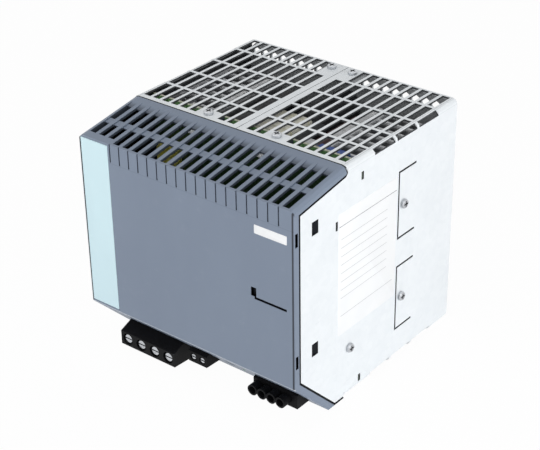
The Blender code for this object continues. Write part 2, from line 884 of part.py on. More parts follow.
def louvres():
    """Cutters of the slots: two slots a column, with a recessed bar and a ramp."""
    deep = -HOOD_ROOF - 2.0
    over = 2.0
    strip_end = STRIP_INSET + STRIP_WIDTH - HALF
    shapes = []
    for x in louvre_columns():
        start = LOUVRE_LOW_START
        if x < strip_end + LOUVRE_SLOT / 2:
            start = STRIP_COLUMN_START
        section = [
            (start, over),
            (start, deep),
            (LOUVRE_LOW_END, deep),
            (LOUVRE_LOW_END, -LOUVRE_RECESS),
            (LOUVRE_HIGH_START, -LOUVRE_RECESS),
            (LOUVRE_HIGH_START, deep),
            (LOUVRE_HIGH_END, deep),
            (LOUVRE_HIGH_END, -LOUVRE_RECESS),
            (LOUVRE_RAMP_END, 0.05),
            (LOUVRE_RAMP_END, over),
        ]
        outline = [on_slope(along, up) for along, up in section]
        shapes.append(prism("x", outline, *span(x, LOUVRE_SLOT)))
    return shapes


def grooves():
    """Fine grooves in the front face under the ribs of the slope."""
    strip_end = STRIP_INSET + STRIP_WIDTH - HALF
    columns = louvre_columns()
    shapes = []
    for left, right in zip(columns, columns[1:]):
        x = (left + right) / 2
        if x - GROOVE_WIDTH > strip_end:
            tall = (FACE_TOP - GROOVE_LENGTH, FACE_TOP + 1.0)
            shapes.append(box(span(x, GROOVE_WIDTH), (-1.0, GROOVE_DEPTH), tall))
    return shapes


def strip_box(grow, back):
    """Room of the accent strip in the front face, grown all round."""
    left = STRIP_INSET - HALF
    top = FACE_TOP - STRIP_INSET
    bottom = CHAMFER + STRIP_INSET
    return (left - grow, left + STRIP_WIDTH + grow), (-1.0, back), (bottom - grow, top + grow)


def label_pocket():
    """Slit in the shape of an L that holds a clip-in label."""
    right = HALF - POCKET_RIGHT_INSET
    left = right - POCKET_WIDTH
    hook = left + POCKET_HOOK_WIDTH
    start = hook - POCKET_JOIN
    base = POCKET_BOTTOM + POCKET_SLIT
    top = POCKET_BOTTOM + POCKET_HEIGHT
    outline = [(left, base), (start, base), (start, POCKET_BOTTOM), (right, POCKET_BOTTOM)]
    outline += [(right, base), (hook, base), (hook, top), (left, top)]
    return prism("y", outline, -1.0, POCKET_DEPTH)


def block_room(terminal):
    """Room of a terminal block in the bottom slope."""
    grow = -CLEAR - 0.05
    outline = inset(terminal.outline(), [grow] * len(terminal.outline()))
    return prism("x", outline, terminal.left + grow, terminal.right - grow)


def hood_side(side):
    """Lug, snap hooks and locating tab on one side of the hood."""
    sunk = HOOD_OUTSIDE - HOOK_ROOT
    reach = HALF - CLEAR
    lug = box(
        sided(side, HOOD_INSIDE - 0.2, HOOD_OUTSIDE - 0.05),
        (HOOD_BACK - LUG_ROOT, LUG_SCREW_Y + SCREW_HEAD_RADIUS + LUG_RIM),
        span(LUG_SCREW_Z, LUG_HEIGHT),
    )
    shapes = [lug]
    for z in (HOOK_HIGH_Z, HOOK_LOW_Z):
        outline = [
            (side * sunk, HOOK_Y + CLEAR),
            (side * sunk, HOOK_Y + HOOK_WIDTH - CLEAR),
            (side * reach, HOOK_Y + HOOK_WIDTH - CLEAR),
            (side * (HOOD_OUTSIDE + HOOK_RISE), HOOK_Y + CLEAR),
        ]
        shapes.append(prism("z", outline, z + CLEAR, z + HOOK_HEIGHT - CLEAR))
    tall = (TAB_SLIT_Z + CLEAR, TAB_SLIT_Z + TAB_HEIGHT - CLEAR)
    shapes.append(box(sided(side, sunk, reach), span(TAB_SLIT_Y, TAB_THICK), tall))
    tab_top = HEIGHT - SHEET - CLEAR
    shapes.append(
        box(
            span(side * TOP_FRONT_SCREW_X, TOP_TAB_WIDTH),
            (HOOD_BACK - TOP_TAB_ROOT, TOP_FRONT_SCREW_Y + SCREW_HEAD_RADIUS + TOP_TAB_RIM),
            (tab_top - HOOD_WALL, tab_top),
        )
    )
    return shapes


def build_hood(finish):
    """Plastic hood: front face, louvre slope, side walls and the bottom slope with its cut-outs."""
    hood = place("front_hood", prism("x", hood_outline(), -HALF, HALF), finish)
    round_edges(hood)
    walls = [HOOD_WALL, HOOD_ROOF, -2.0, HOOD_WALL, HOOD_WALL]
    inside = inset(hood_outline(), walls)
    gap = inset(plate_outline(), [-SHADOW_GAP] * len(plate_outline()))
    cut(hood, prism("x", inside, -HOOD_INSIDE, HOOD_INSIDE))
    for side in SIDES.values():
        cut(hood, prism("x", gap, *sided(side, HOOD_OUTSIDE, HALF + 2.0)))
        add(hood, *hood_side(side))
    slits = []
    for side in SIDES.values():
        deep = sided(side, HALF - GRIP_SLOT_DEPTH, HALF + 1.0)
        for z in (HOOK_HIGH_Z, HOOK_LOW_Z):
            low = z - GRIP_SLOT_DROP
            slits.append(box(deep, (GRIP_SLOT_Y, GRIP_SLOT_Y + GRIP_SLOT_WIDTH), (low, low + HOOK_HEIGHT)))
        hole = circle((LUG_SCREW_Y, LUG_SCREW_Z), HOLE_RADIUS, 12)
        slits.append(prism("x", hole, *sided(side, HOOD_INSIDE - 2.0, HOOD_OUTSIDE + 2.0)))
        hole = circle((side * TOP_FRONT_SCREW_X, TOP_FRONT_SCREW_Y), HOLE_RADIUS, 12)
        slits.append(prism("z", hole, HEIGHT - SHEET - HOOD_WALL - 3.0, HEIGHT))
    cut(hood, *louvres())
    cut(hood, *grooves(), label_pocket(), box(*strip_box(CLEAR, STRIP_THICK + CLEAR)), *slits)
    rooms = [block_room(terminal) for terminal in TERMINALS]
    through = (-1.0, CONNECTION_BOARD_Y - 1.0)
    rooms.append(prism("y", circle((TRIMMER_X, TRIMMER_Z), ROTOR_RADIUS + CLEAR, 16), *through))
    rooms.append(prism("y", circle((LENS_X, TRIMMER_Z), LENS_RADIUS + CLEAR, 12), *through))
    cut(hood, *rooms)
    return hood


def build_strip(finish):
    wide, _, tall = strip_box(0.0, 0.0)
    place("accent_strip", box(wide, (0.0, STRIP_THICK), tall), finish)


def screw_shape(axis, centre, seat, outward, head_radius, head_height, shank_radius, length):
    """Head and shank of a screw along an axis; outward is the way its head faces."""
    top = seat + outward * head_height
    rim = seat + outward * head_height * HEAD_RIM_SHARE
    profile = [
        (head_radius * HEAD_TOP_SHARE, top),
        (head_radius, rim),
        (head_radius, seat),
        (shank_radius, seat),
        (shank_radius, seat - outward * length),
    ]
    return turned(axis, centre, profile, 16)


def head_box(axis, centre, depth, first, second):
    """Box about a screw's axis: its depth along the axis and its two sizes across."""
    across = span(centre[0], first)
    along = span(centre[1], second)
    if axis == "x":
        return box(depth, across, along)
    if axis == "y":
        return box(across, depth, along)
    return box(across, along, depth)


def slot_shape(axis, centre, top, outward, radius):
    """Driver slot across a screw's head."""
    depth = sorted((top - outward * SCREW_SLOT_DEPTH, top + outward))
    return head_box(axis, centre, depth, 2 * radius + 2.0, SCREW_SLOT_WIDTH)


def recess_shapes(axis, centre, top, outward):
    """The two crossing slots of a screw head's cross recess."""
    depth = sorted((top - outward * RECESS_DEPTH, top + outward))
    return (
        head_box(axis, centre, depth, RECESS_LENGTH, RECESS_WIDTH),
        head_box(axis, centre, depth, RECESS_WIDTH, RECESS_LENGTH),
    )


def build_screw(name, axis, centre, face, outward, finish):
    """Housing screw whose head rests on a face."""
    seat = face + outward * CLEAR
    shape = screw_shape(
        axis, centre, seat, outward, SCREW_HEAD_RADIUS, SCREW_HEAD_HEIGHT, SCREW_SHANK_RADIUS, SCREW_LENGTH
    )
    screw = place(name, shape, finish)
    for shape in recess_shapes(axis, centre, seat + outward * SCREW_HEAD_HEIGHT, outward):
        cut(screw, shape)


def build_housing_screws(finish):
    for name, side in SIDES.items():
        front = (side * TOP_FRONT_SCREW_X, TOP_FRONT_SCREW_Y)
        back = (side * TOP_BACK_SCREW_X, TOP_BACK_SCREW_Y)
        build_screw(f"top_front_screw_{name}", "z", front, HEIGHT, 1, finish)
        build_screw(f"top_back_screw_{name}", "z", back, HEIGHT, 1, finish)
        for place_name, y, z in (
            ("upper", SIDE_SCREW_Y, SIDE_SCREW_HIGH_Z),
            ("lower", SIDE_SCREW_Y, SIDE_SCREW_LOW_Z),
            ("lug", LUG_SCREW_Y, LUG_SCREW_Z),
        ):
            build_screw(f"{name}_side_screw_{place_name}", "x", (y, z), side * HALF, side, finish)
        centre = (side * BRACKET_SCREW_X, BRACKET_SCREW_Z)
        build_screw(f"bracket_screw_{name}", "y", centre, BRACKET_FACE, 1, finish)


def build_boards(main_finish, connection_finish):
    """Main board between the shells, and the connection board in the hood with its contact tongues."""
    half = INSIDE - CLEAR
    tall = (SHEET + CLEAR, HEIGHT - MAIN_BOARD_TOP_INSET)
    deep = (MAIN_BOARD_Y, BOARD_BACK)
    outline = cornered((-half, half), tall, BEND_RADIUS, 0.0)
    main = place("main_board", prism("y", outline, *deep), main_finish)
    tabs = []
    for side in SIDES.values():
        for z in (BOARD_TAB_HIGH_Z, BOARD_TAB_LOW_Z):
            wide = sided(side, half - 1.0, HALF - CLEAR)
            tabs.append(box(wide, deep, (z, z + BOARD_TAB_HEIGHT)))
    add(main, *tabs)
    half = HOOD_INSIDE - CLEAR
    tall = (HOOD_WALL + CLEAR, CONNECTION_BOARD_TOP)
    deep = (CONNECTION_BOARD_Y, CONNECTION_BOARD_Y + BOARD_THICK)
    board = place("connection_board", box((-half, half), deep, tall), connection_finish)
    legs = []
    for terminal in (SIGNAL, INPUT):
        top = terminal.chamber_top() + CLEAR + LEG_THICK
        front = terminal.tongue_front()
        outline = [
            (front, terminal.cage_top() - terminal.cage_height + CLEAR),
            (front, top),
            (CONNECTION_BOARD_Y + BOARD_THICK / 2, top),
            (CONNECTION_BOARD_Y + BOARD_THICK / 2, top - LEG_THICK),
            (front + terminal.tongue, top - LEG_THICK),
            (front + terminal.tongue, terminal.cage_top() - terminal.cage_height + CLEAR),
        ]
        for pole in range(terminal.poles):
            wide = span(terminal.pole_x(pole), terminal.tongue_width())
            legs.append(prism("x", outline, *wide))
    add(board, *legs)


def build_block(terminal, finish):
    """Terminal block with screw bores, clamp chambers open below, and slots for the contact tongues."""
    wide = (terminal.left, terminal.right)
    block = place(f"{terminal.name}_block", prism("x", terminal.outline(), *wide), finish)
    below = terminal.bottom_back - 5.0
    chambers = []
    slots = []
    for pole in range(terminal.poles):
        x = terminal.pole_x(pole)
        centre = (x, terminal.axis_z)
        if terminal.tube_radius:
            tube = circle(centre, terminal.tube_radius, 20)
            add(block, prism("y", tube, terminal.face_y, terminal.body_y + 0.5))
        chambers.append(
            box(
                span(x, terminal.chamber_width()),
                (terminal.chamber_front(), terminal.chamber_back()),
                (below, terminal.chamber_top()),
            )
        )
        room = span(x, terminal.tongue_width() + 2 * CLEAR)
        front = terminal.tongue_front() - CLEAR
        if terminal is OUTPUT:
            slot = (front, front + terminal.tongue + 2 * CLEAR)
            slots.append(box(room, slot, (terminal.chamber_top() - 1.0, terminal.top_back + 5.0)))
        else:
            top = terminal.chamber_top() + LEG_THICK + 2 * CLEAR
            slots.append(box(room, (front, terminal.back() + 5.0), (terminal.chamber_top() - 1.0, top)))
    cut(block, *chambers)
    cut(block, *slots)
    for pole in range(terminal.poles):
        centre = (terminal.pole_x(pole), terminal.axis_z)
        head_back = terminal.head_front() + terminal.head_height + CLEAR
        head = prism("y", circle(centre, terminal.bore_radius, 16), terminal.face_y - 2.0, head_back)
        cut(block, head)
    for pole in range(terminal.poles):
        centre = (terminal.pole_x(pole), terminal.axis_z)
        shank = circle(centre, terminal.shank_radius + CLEAR, 12)
        start = terminal.head_front() + 1.0
        cut(block, prism("y", shank, start, terminal.chamber_front() + 1.0))


def build_clamps(terminal, screw_finish, cage_finish):
    """Captive screws and the cages that they draw along."""
    for pole in range(terminal.poles):
        x = terminal.pole_x(pole)
        centre = (x, terminal.axis_z)
        number = pole + 1
        front = terminal.head_front()
        seat = front + terminal.head_height
        length = terminal.cage_front() + terminal.wall - seat
        shape = screw_shape(
            "y", centre, seat, -1, terminal.head_radius, terminal.head_height, terminal.shank_radius, length
        )
        pivot = (x, front, terminal.axis_z)
        screw = place(f"{terminal.name}_screw_{number}", shape, screw_finish, pivot)
        cut(screw, slot_shape("y", centre, front, -1, terminal.head_radius))
        tall = span(terminal.axis_z, terminal.cage_height)
        outer = box(span(x, terminal.cage_width()), (terminal.cage_front(), terminal.cage_back()), tall)
        cage = place(f"{terminal.name}_cage_{number}", outer, cage_finish, pivot)
        inner = (terminal.cage_front() + terminal.wall, terminal.wire_back())
        past = (tall[0] - 1.0, tall[1] + 1.0)
        cut(cage, box(span(x, terminal.window()), inner, past))
        hole = circle(centre, terminal.shank_radius + CLEAR, 12)
        cut(cage, prism("y", hole, terminal.cage_front() - 1.0, terminal.cage_front() + terminal.wall + 1.0))


def build_bus_bars(finish):
    """Plus and minus bars, each joining two poles of the output block to the board."""
    bottom = OUTPUT.top_back + CLEAR
    top = bottom + BUS_THICK
    front = OUTPUT.tongue_front()
    low = OUTPUT.cage_top() - OUTPUT.cage_height + CLEAR
    pairs = OUTPUT.poles // 2
    for name, first, last in (("plus", 0, pairs - 1), ("minus", pairs, OUTPUT.poles - 1)):
        half = OUTPUT.tongue_width() / 2
        wide = (OUTPUT.pole_x(first) - half, OUTPUT.pole_x(last) + half)
        bar = place(f"{name}_bus_bar", box(wide, (front, OUTPUT.back()), (bottom, top)), finish)
        for pole in range(first, last + 1):
            narrow = span(OUTPUT.pole_x(pole), OUTPUT.tongue_width() - 0.2)
            add(bar, box(narrow, (front + 0.1, front + OUTPUT.tongue - 0.1), (low, top - 0.2)))


def build_trimmer(body_finish, rotor_finish, lens_finish):
    """Voltage trimmer and status light pipe, both carried by the connection board."""
    x = TRIMMER_X
    back = CONNECTION_BOARD_Y - CLEAR
    front = back - TRIMMER_LENGTH
    body = place(
        "trimmer_body",
        box(span(x, TRIMMER_BODY), (front, back), span(TRIMMER_Z, TRIMMER_BODY)),
        body_finish,
    )
    centre = (x, TRIMMER_Z)
    socket = circle(centre, ROTOR_PIN_RADIUS + CLEAR, 12)
    cut(body, prism("y", socket, front - 1.0, front + ROTOR_PIN_LENGTH + CLEAR))
    seat = front - CLEAR
    profile = [
        (ROTOR_RADIUS, seat - ROTOR_HEAD),
        (ROTOR_RADIUS, seat),
        (ROTOR_PIN_RADIUS, seat),
        (ROTOR_PIN_RADIUS, front + ROTOR_PIN_LENGTH),
    ]
    pivot = (x, seat, TRIMMER_Z)
    rotor = place("trimmer_rotor", turned("y", centre, profile, 16), rotor_finish, pivot)
    cut(rotor, slot_shape("y", centre, seat - ROTOR_HEAD, -1, ROTOR_RADIUS))
    tip = back - LENS_LENGTH
    lens = turned(
        "y",
        (LENS_X, TRIMMER_Z),
        [(LENS_RADIUS * LENS_TIP_SHARE, tip), (LENS_RADIUS, tip + LENS_TIP), (LENS_RADIUS, back)],
        12,
    )
    place("status_light_pipe", lens, lens_finish)


def fin_places():
    """Middle of each fin; the side screws pass half way between two of them."""
    first = BOARD_SEAT + BLUE_CAP_LENGTH + SINK_FRONT_GAP + FIN_THICK / 2
    last = BACK_FRONT - SINK_BACK_GAP - FIN_THICK / 2
    before = int((SIDE_SCREW_Y - first) / FIN_PITCH + 0.5)
    behind = int((last - SIDE_SCREW_Y) / FIN_PITCH + 0.5)
    return [SIDE_SCREW_Y + (k + 0.5) * FIN_PITCH for k in range(-before, behind)]


def build_heat_sinks(finish):
    """Finned heat sinks, each screwed to its side plate."""
    outer = INSIDE - CLEAR
    fins = fin_places()
    front = fins[0] - FIN_THICK / 2
    back = fins[-1] + FIN_THICK / 2
    tall = (HEAT_SINK_BOTTOM, HEIGHT - HEAT_SINK_TOP_GAP)
    past = (tall[0] - 1.0, tall[1] + 1.0)
    for name, side in SIDES.items():
        inner = SINK_INNER[name]
        sink = place(f"{name}_heat_sink", box(sided(side, inner, outer), (front, back), tall), finish)
        cells = []
        for before, after in zip(fins, fins[1:]):
            wide = sided(side, inner + HEAT_SINK_INNER, outer - HEAT_SINK_PLATE)
            cells.append(box(wide, (before + FIN_THICK / 2, after - FIN_THICK / 2), past))
        cut(sink, *cells)
        holes = []
        for z in (SIDE_SCREW_HIGH_Z, SIDE_SCREW_LOW_Z):
            hole = circle((SIDE_SCREW_Y, z), HOLE_RADIUS, 12)
            holes.append(prism("x", hole, *sided(side, outer - HEAT_SINK_PLATE - 1.0, outer + 1.0)))
        cut(sink, *holes)


def build_transformer(core_finish, winding_finish):
    """Ferrite core with its winding round the middle leg."""
    front = BOARD_SEAT
    back = front + CORE_LENGTH
    wide = span(CORE_X, CORE_WIDTH)
    middle = HEIGHT - CORE_FROM_TOP
    tall = span(middle, CORE_HEIGHT)
    past = (tall[0] - 1.0, tall[1] + 1.0)
    window = (front + CORE_YOKE, back - CORE_YOKE)
    core = place("transformer_core", box(wide, (front, back), tall), core_finish)
    leg = span(CORE_X, CORE_CENTRE_LEG)
    left = box((wide[0] + CORE_LEG, leg[0]), window, past)
    right = box((leg[1], wide[1] - CORE_LEG), window, past)
    cut(core, left, right)
    outer = (wide[0] + CORE_LEG + CLEAR, wide[1] - CORE_LEG - CLEAR)
    high = span(middle, WINDING_HEIGHT)
    bulge = WINDING_CORNER
    outline = [
        (outer[0], high[0] + bulge),
        (outer[0], high[1] - bulge),
        (outer[0] + bulge, high[1]),
        (outer[1] - bulge, high[1]),
        (outer[1], high[1] - bulge),
        (outer[1], high[0] + bulge),
        (outer[1] - bulge, high[0]),
        (outer[0] + bulge, high[0]),
    ]
    deep = (window[0] + CLEAR, window[1] - CLEAR)
    winding = place("transformer_winding", prism("y", outline, *deep), winding_finish)
    hole = box(
        (leg[0] - CLEAR, leg[1] + CLEAR),
        (deep[0] - 1.0, deep[1] + 1.0),
        (tall[0] - CLEAR, tall[1] + CLEAR),
    )
    cut(winding, hole)


def can(name, x, z, radius, front, length, finish):
    """Round capacitor lying along Y, with a crimp groove near its foot."""
    profile = [
        (radius - CAN_LIP, front),
        (radius, front + CAN_LIP),
        (radius, front + CAN_CRIMP - 1.0),
        (radius - CAN_LIP, front + CAN_CRIMP),
        (radius, front + CAN_CRIMP + 1.0),
        (radius, front + length - CAN_LIP),
        (radius - CAN_LIP, front + length),
    ]
    place(name, turned("y", (x, z), profile, 20), finish)


def build_capacitors(black, blue, yellow):
    """Cans and film capacitors on both faces of the main board."""
    room = BACK_FRONT - BOARD_SEAT
    place_z = HEIGHT - CAN_FROM_TOP
    can("bulk_capacitor", CAN_X, place_z, CAN_RADIUS, BOARD_SEAT, room - CAN_BACK_GAP, black)
    place_z = HEIGHT - SMALL_CAN_FROM_TOP
    length = room - SMALL_CAN_BACK_GAP
    can("output_capacitor", SMALL_CAN_X, place_z, SMALL_CAN_RADIUS, BOARD_SEAT, length, black)
    deep = (BOARD_SEAT, BOARD_SEAT + BLUE_CAP_LENGTH)
    top = HEIGHT - BLUE_CAP_FROM_TOP
    tall = (top - BLUE_CAP_HEIGHT, top)
    place("filter_capacitor_blue", box(span(BLUE_CAP_X, BLUE_CAP_WIDTH), deep, tall), blue)
    back = MAIN_BOARD_Y - CLEAR
    deep = (back - YELLOW_CAP_LENGTH, back)
    top = HEIGHT - YELLOW_CAP_FROM_TOP
    tall = (top - YELLOW_CAP_HEIGHT, top)
    place("filter_capacitor_yellow", box(span(YELLOW_CAP_X, YELLOW_CAP_WIDTH), deep, tall), yellow)


def build_choke(finish):
    """Round choke between the transformer and the back plate."""
    front = BOARD_SEAT + CORE_LENGTH + CHOKE_FROM_CORE
    length = BACK_FRONT - CLEAR - front
    can("output_choke", CHOKE_X, HEIGHT - CHOKE_FROM_TOP, CHOKE_RADIUS, front, length, finish)


def build_back(finish):
    """Back plate with hexagonal vent holes and a top flange for the back screws."""
    half = INSIDE - CLEAR
    tall = (SHEET + CLEAR, HEIGHT - SHEET - CLEAR)
    outline = cornered((-half, half), tall, BEND_RADIUS, BEND_RADIUS)
    plate = place("back_plate", prism("y", outline, BACK_FRONT, BACK_FACE), finish)
    flange = box(
        span(0.0, BACK_FLANGE_WIDTH),
        (BACK_FRONT - BACK_FLANGE_DEPTH, BACK_FRONT + BACK_THICK / 2),
        (tall[1] - BACK_THICK - 0.05, tall[1] - 0.05),
    )
    add(plate, flange)
    past = (BACK_FRONT - 1.0, BACK_FACE + 1.0)
    shapes = []
    for x in grille_columns():
        for side in SIDES.values():
            for z in (BACK_HOLE_INSET, HEIGHT - BACK_HOLE_INSET):
                shapes.append(prism("y", circle((side * x, z), BACK_HOLE_RADIUS, 6), *past))
    for side in SIDES.values():
        centre = (side * BRACKET_SCREW_X, BRACKET_SCREW_Z)
        shapes.append(prism("y", circle(centre, HOLE_RADIUS, 12), *past))
        centre = (side * TOP_BACK_SCREW_X, TOP_BACK_SCREW_Y)
        shapes.append(prism("z", circle(centre, HOLE_RADIUS, 12), tall[1] - BACK_THICK - 1.0, tall[1] + 1.0))
    cut(plate, *shapes)


def build_rail_clip(bracket_finish, slider_finish):
    """Rail bracket with a raised seat and the fixed upper hook, and the slider with the lower hook."""
    low = RAIL_BOTTOM - BRACKET_BELOW_RAIL
    lip_front = SEAT + RAIL_LIP_GAP
    ceiling = RAIL_TOP + RAIL_EDGE_GAP
    seat_low = RAIL_BOTTOM + HOOK_LIP_OVERLAP + SEAT_EDGE
    seat_high = RAIL_TOP - HOOK_LIP_OVERLAP - SEAT_EDGE
    outline = [
        (BRACKET_FRONT, low),
        (BRACKET_FACE, low),
        (BRACKET_FACE, seat_low),
        (SEAT, seat_low),
        (SEAT, seat_high),
        (BRACKET_FACE, seat_high),
        (BRACKET_FACE, ceiling),
        (lip_front, ceiling),
        (lip_front, RAIL_TOP - HOOK_LIP_OVERLAP),
        (CLIP_BACK, RAIL_TOP - HOOK_LIP_OVERLAP),
        (CLIP_BACK, ceiling + HOOK_ROOF),
        (BRACKET_FRONT, ceiling + HOOK_ROOF),
    ]
    bracket = place("rail_bracket", prism("x", outline, *span(0.0, BRACKET_WIDTH)), bracket_finish)
    channel_back = BRACKET_FRONT + SLIDER_THICK + CLEAR
    room = span(0.0, SLIDER_WIDTH + 2 * CLEAR)
    top = RAIL_BOTTOM + SLIDER_TOP_ABOVE
    floor = RAIL_BOTTOM - RAIL_EDGE_GAP
    foot = floor - SLIDER_FOOT
    cut(bracket, box(room, (BRACKET_FRONT - 1.0, channel_back), (low - 1.0, top + CLEAR)))
    window = (foot - SLIDER_TRAVEL - 1.0, floor + CLEAR)
    cut(bracket, box(room, (channel_back - 0.5, SEAT + 1.0), window))
    holes = []
    for side in SIDES.values():
        centre = (side * BRACKET_SCREW_X, BRACKET_SCREW_Z)
        holes.append(prism("y", circle(centre, HOLE_RADIUS, 12), BRACKET_FRONT - 1.0, SEAT + 1.0))
    cut(bracket, *holes)
    slider_back = BRACKET_FRONT + SLIDER_THICK
    outline = [
        (BRACKET_FRONT, SLIDER_BOTTOM),
        (slider_back, SLIDER_BOTTOM),
        (slider_back, foot),
        (CLIP_BACK, foot),
        (CLIP_BACK, RAIL_BOTTOM + HOOK_LIP_OVERLAP),
        (lip_front, RAIL_BOTTOM + HOOK_LIP_OVERLAP),
        (lip_front, floor),
        (slider_back, floor),
        (slider_back, top),
        (BRACKET_FRONT, top),
    ]
    pivot = (0.0, BRACKET_FRONT, SLIDER_BOTTOM)
    slider = place("rail_slider", prism("x", outline, *span(0.0, SLIDER_WIDTH)), slider_finish, pivot)
    driver = (SLIDER_BOTTOM + SLIDER_SLOT_UP, SLIDER_BOTTOM + SLIDER_SLOT_UP + SLIDER_SLOT_HEIGHT)
    cut(slider, box(span(0.0, SLIDER_SLOT_WIDTH), (BRACKET_FRONT - 1.0, slider_back + 1.0), driver))


def main():
    clear_scene()
    steel = material("zinc_sheet", (0.74, 0.76, 0.78), 0.35, 1.0)
    grey = material("hood_plastic", (0.23, 0.28, 0.34), 0.5, 0.0)
    pale = material("accent_plastic", (0.62, 0.83, 0.87), 0.45, 0.0)
    bright = material("screw_steel", (0.80, 0.80, 0.80), 0.25, 1.0)
    black = material("terminal_plastic", (0.012, 0.012, 0.014), 0.4, 0.0)
    copper = material("tinned_copper", (0.75, 0.74, 0.72), 0.3, 1.0)
    green = material("board_laminate", (0.05, 0.24, 0.12), 0.4, 0.0)
    sink = material("sink_aluminium", (0.66, 0.68, 0.70), 0.4, 1.0)
    ferrite = material("ferrite", (0.05, 0.05, 0.055), 0.6, 0.0)
    tape = material("winding_tape", (0.82, 0.72, 0.28), 0.5, 0.0)
    sleeve = material("can_sleeve", (0.02, 0.02, 0.025), 0.35, 0.0)
    blue = material("film_blue", (0.05, 0.20, 0.55), 0.35, 0.0)
    yellow = material("film_yellow", (0.85, 0.68, 0.08), 0.4, 0.0)
    white = material("rotor_plastic", (0.85, 0.85, 0.82), 0.45, 0.0)
    clear = material("light_pipe", (0.55, 0.85, 0.55), 0.2, 0.0)
    for name, side in SIDES.items():
        build_shell(name, side, steel)
    build_back(steel)
    build_hood(grey)
    build_strip(pale)
    build_housing_screws(bright)
    build_boards(green, green)
    for terminal in TERMINALS:
        build_block(terminal, black)
        build_clamps(terminal, bright, steel)
    build_bus_bars(copper)
    build_trimmer(black, white, clear)
    build_heat_sinks(sink)
    build_transformer(ferrite, tape)
    build_capacitors(sleeve, blue, yellow)
    build_choke(ferrite)
    build_rail_clip(steel, black)


if __name__ == "__main__":
    main()
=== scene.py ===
"""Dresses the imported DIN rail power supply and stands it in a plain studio.

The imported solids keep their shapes. This script gives each of them its finish, adds the name plate, the
ruled label, the hood's clips and the small parts inside, and sets the lamps, the floor and the camera.
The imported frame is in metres: x to the right, y to the back, z up. Sizes in the classes are in
millimetres, with depths counted from the front face, and colours are given as a screen shows them.
"""

import logging
import math
from dataclasses import dataclass
from enum import Enum
from functools import cached_property
from typing import Callable, Optional, Sequence, Union

import bmesh
import bpy
from mathutils import Matrix, Vector


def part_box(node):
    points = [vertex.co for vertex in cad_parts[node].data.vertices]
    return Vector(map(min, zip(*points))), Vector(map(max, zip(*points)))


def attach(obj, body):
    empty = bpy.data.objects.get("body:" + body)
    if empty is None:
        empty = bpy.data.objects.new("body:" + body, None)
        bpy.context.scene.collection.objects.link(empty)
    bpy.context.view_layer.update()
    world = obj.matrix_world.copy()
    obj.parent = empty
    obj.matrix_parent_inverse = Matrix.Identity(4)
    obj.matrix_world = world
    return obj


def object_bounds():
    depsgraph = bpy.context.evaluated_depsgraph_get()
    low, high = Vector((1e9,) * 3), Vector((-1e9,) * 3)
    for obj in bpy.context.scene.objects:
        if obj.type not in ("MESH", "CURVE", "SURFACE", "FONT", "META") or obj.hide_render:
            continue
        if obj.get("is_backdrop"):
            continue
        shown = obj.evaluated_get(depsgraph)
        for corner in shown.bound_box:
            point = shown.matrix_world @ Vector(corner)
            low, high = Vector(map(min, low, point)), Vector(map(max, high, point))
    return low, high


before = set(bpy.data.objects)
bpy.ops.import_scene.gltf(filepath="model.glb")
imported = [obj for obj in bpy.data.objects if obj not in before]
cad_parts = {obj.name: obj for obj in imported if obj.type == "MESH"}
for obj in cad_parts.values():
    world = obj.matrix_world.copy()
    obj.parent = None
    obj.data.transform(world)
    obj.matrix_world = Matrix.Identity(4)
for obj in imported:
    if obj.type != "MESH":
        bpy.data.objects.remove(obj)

LOG = logging.getLogger("power_supply")
MM = 0.001
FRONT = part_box("front_hood")[0].y
SHARP = math.radians(35)
HOUSING = "housing"
# Near-black grey painted on the sheets' inner faces and cut edges as painted shade.
PAINTED_INNER_SHADE = (40, 42, 46)
WHITE = (255, 255, 255)
Colour = tuple[float, float, float, float]
Rgb = tuple[int, int, int]
Point = tuple[float, float]
Band = tuple[float, float]
Three = tuple[float, float, float]
Rows = Sequence[Sequence[Vector]]


class Axis(Enum):
    """The directions that a shape drawn along z is laid out along, with the rows of each rotation."""

    X = ((0, 0, 1), (1, 0, 0), (0, 1, 0))
    Y = ((1, 0, 0), (0, 0, 1), (0, -1, 0))

    def turn(self) -> Matrix:
        """The rotation that lays z out along this direction."""
        return Matrix(self.value).to_4x4()


class Slot(Enum):
    """The record's material slots that the added pieces are listed with."""

    ACCENT = "accent_plastic"
    CAN = "can_sleeve"
    ROTOR = "rotor_plastic"
    SHEET = "zinc_sheet"
    SINK = "sink_aluminium"


def srgb(red: int, green: int, blue: int) -> Colour:
    """Turns a colour as it is seen on a screen into the linear one that a shader takes.

    Args:
        red: From 0 to 255.
        green: Likewise.
        blue: Likewise.

    Returns:
        The linear colour with an alpha of 1.
    """
    levels = []
    for share in (red / 255, green / 255, blue / 255):
        levels.append(share / 12.92 if share <= 0.04045 else ((share + 0.055) / 1.055) ** 2.4)
    return (*levels, 1.0)


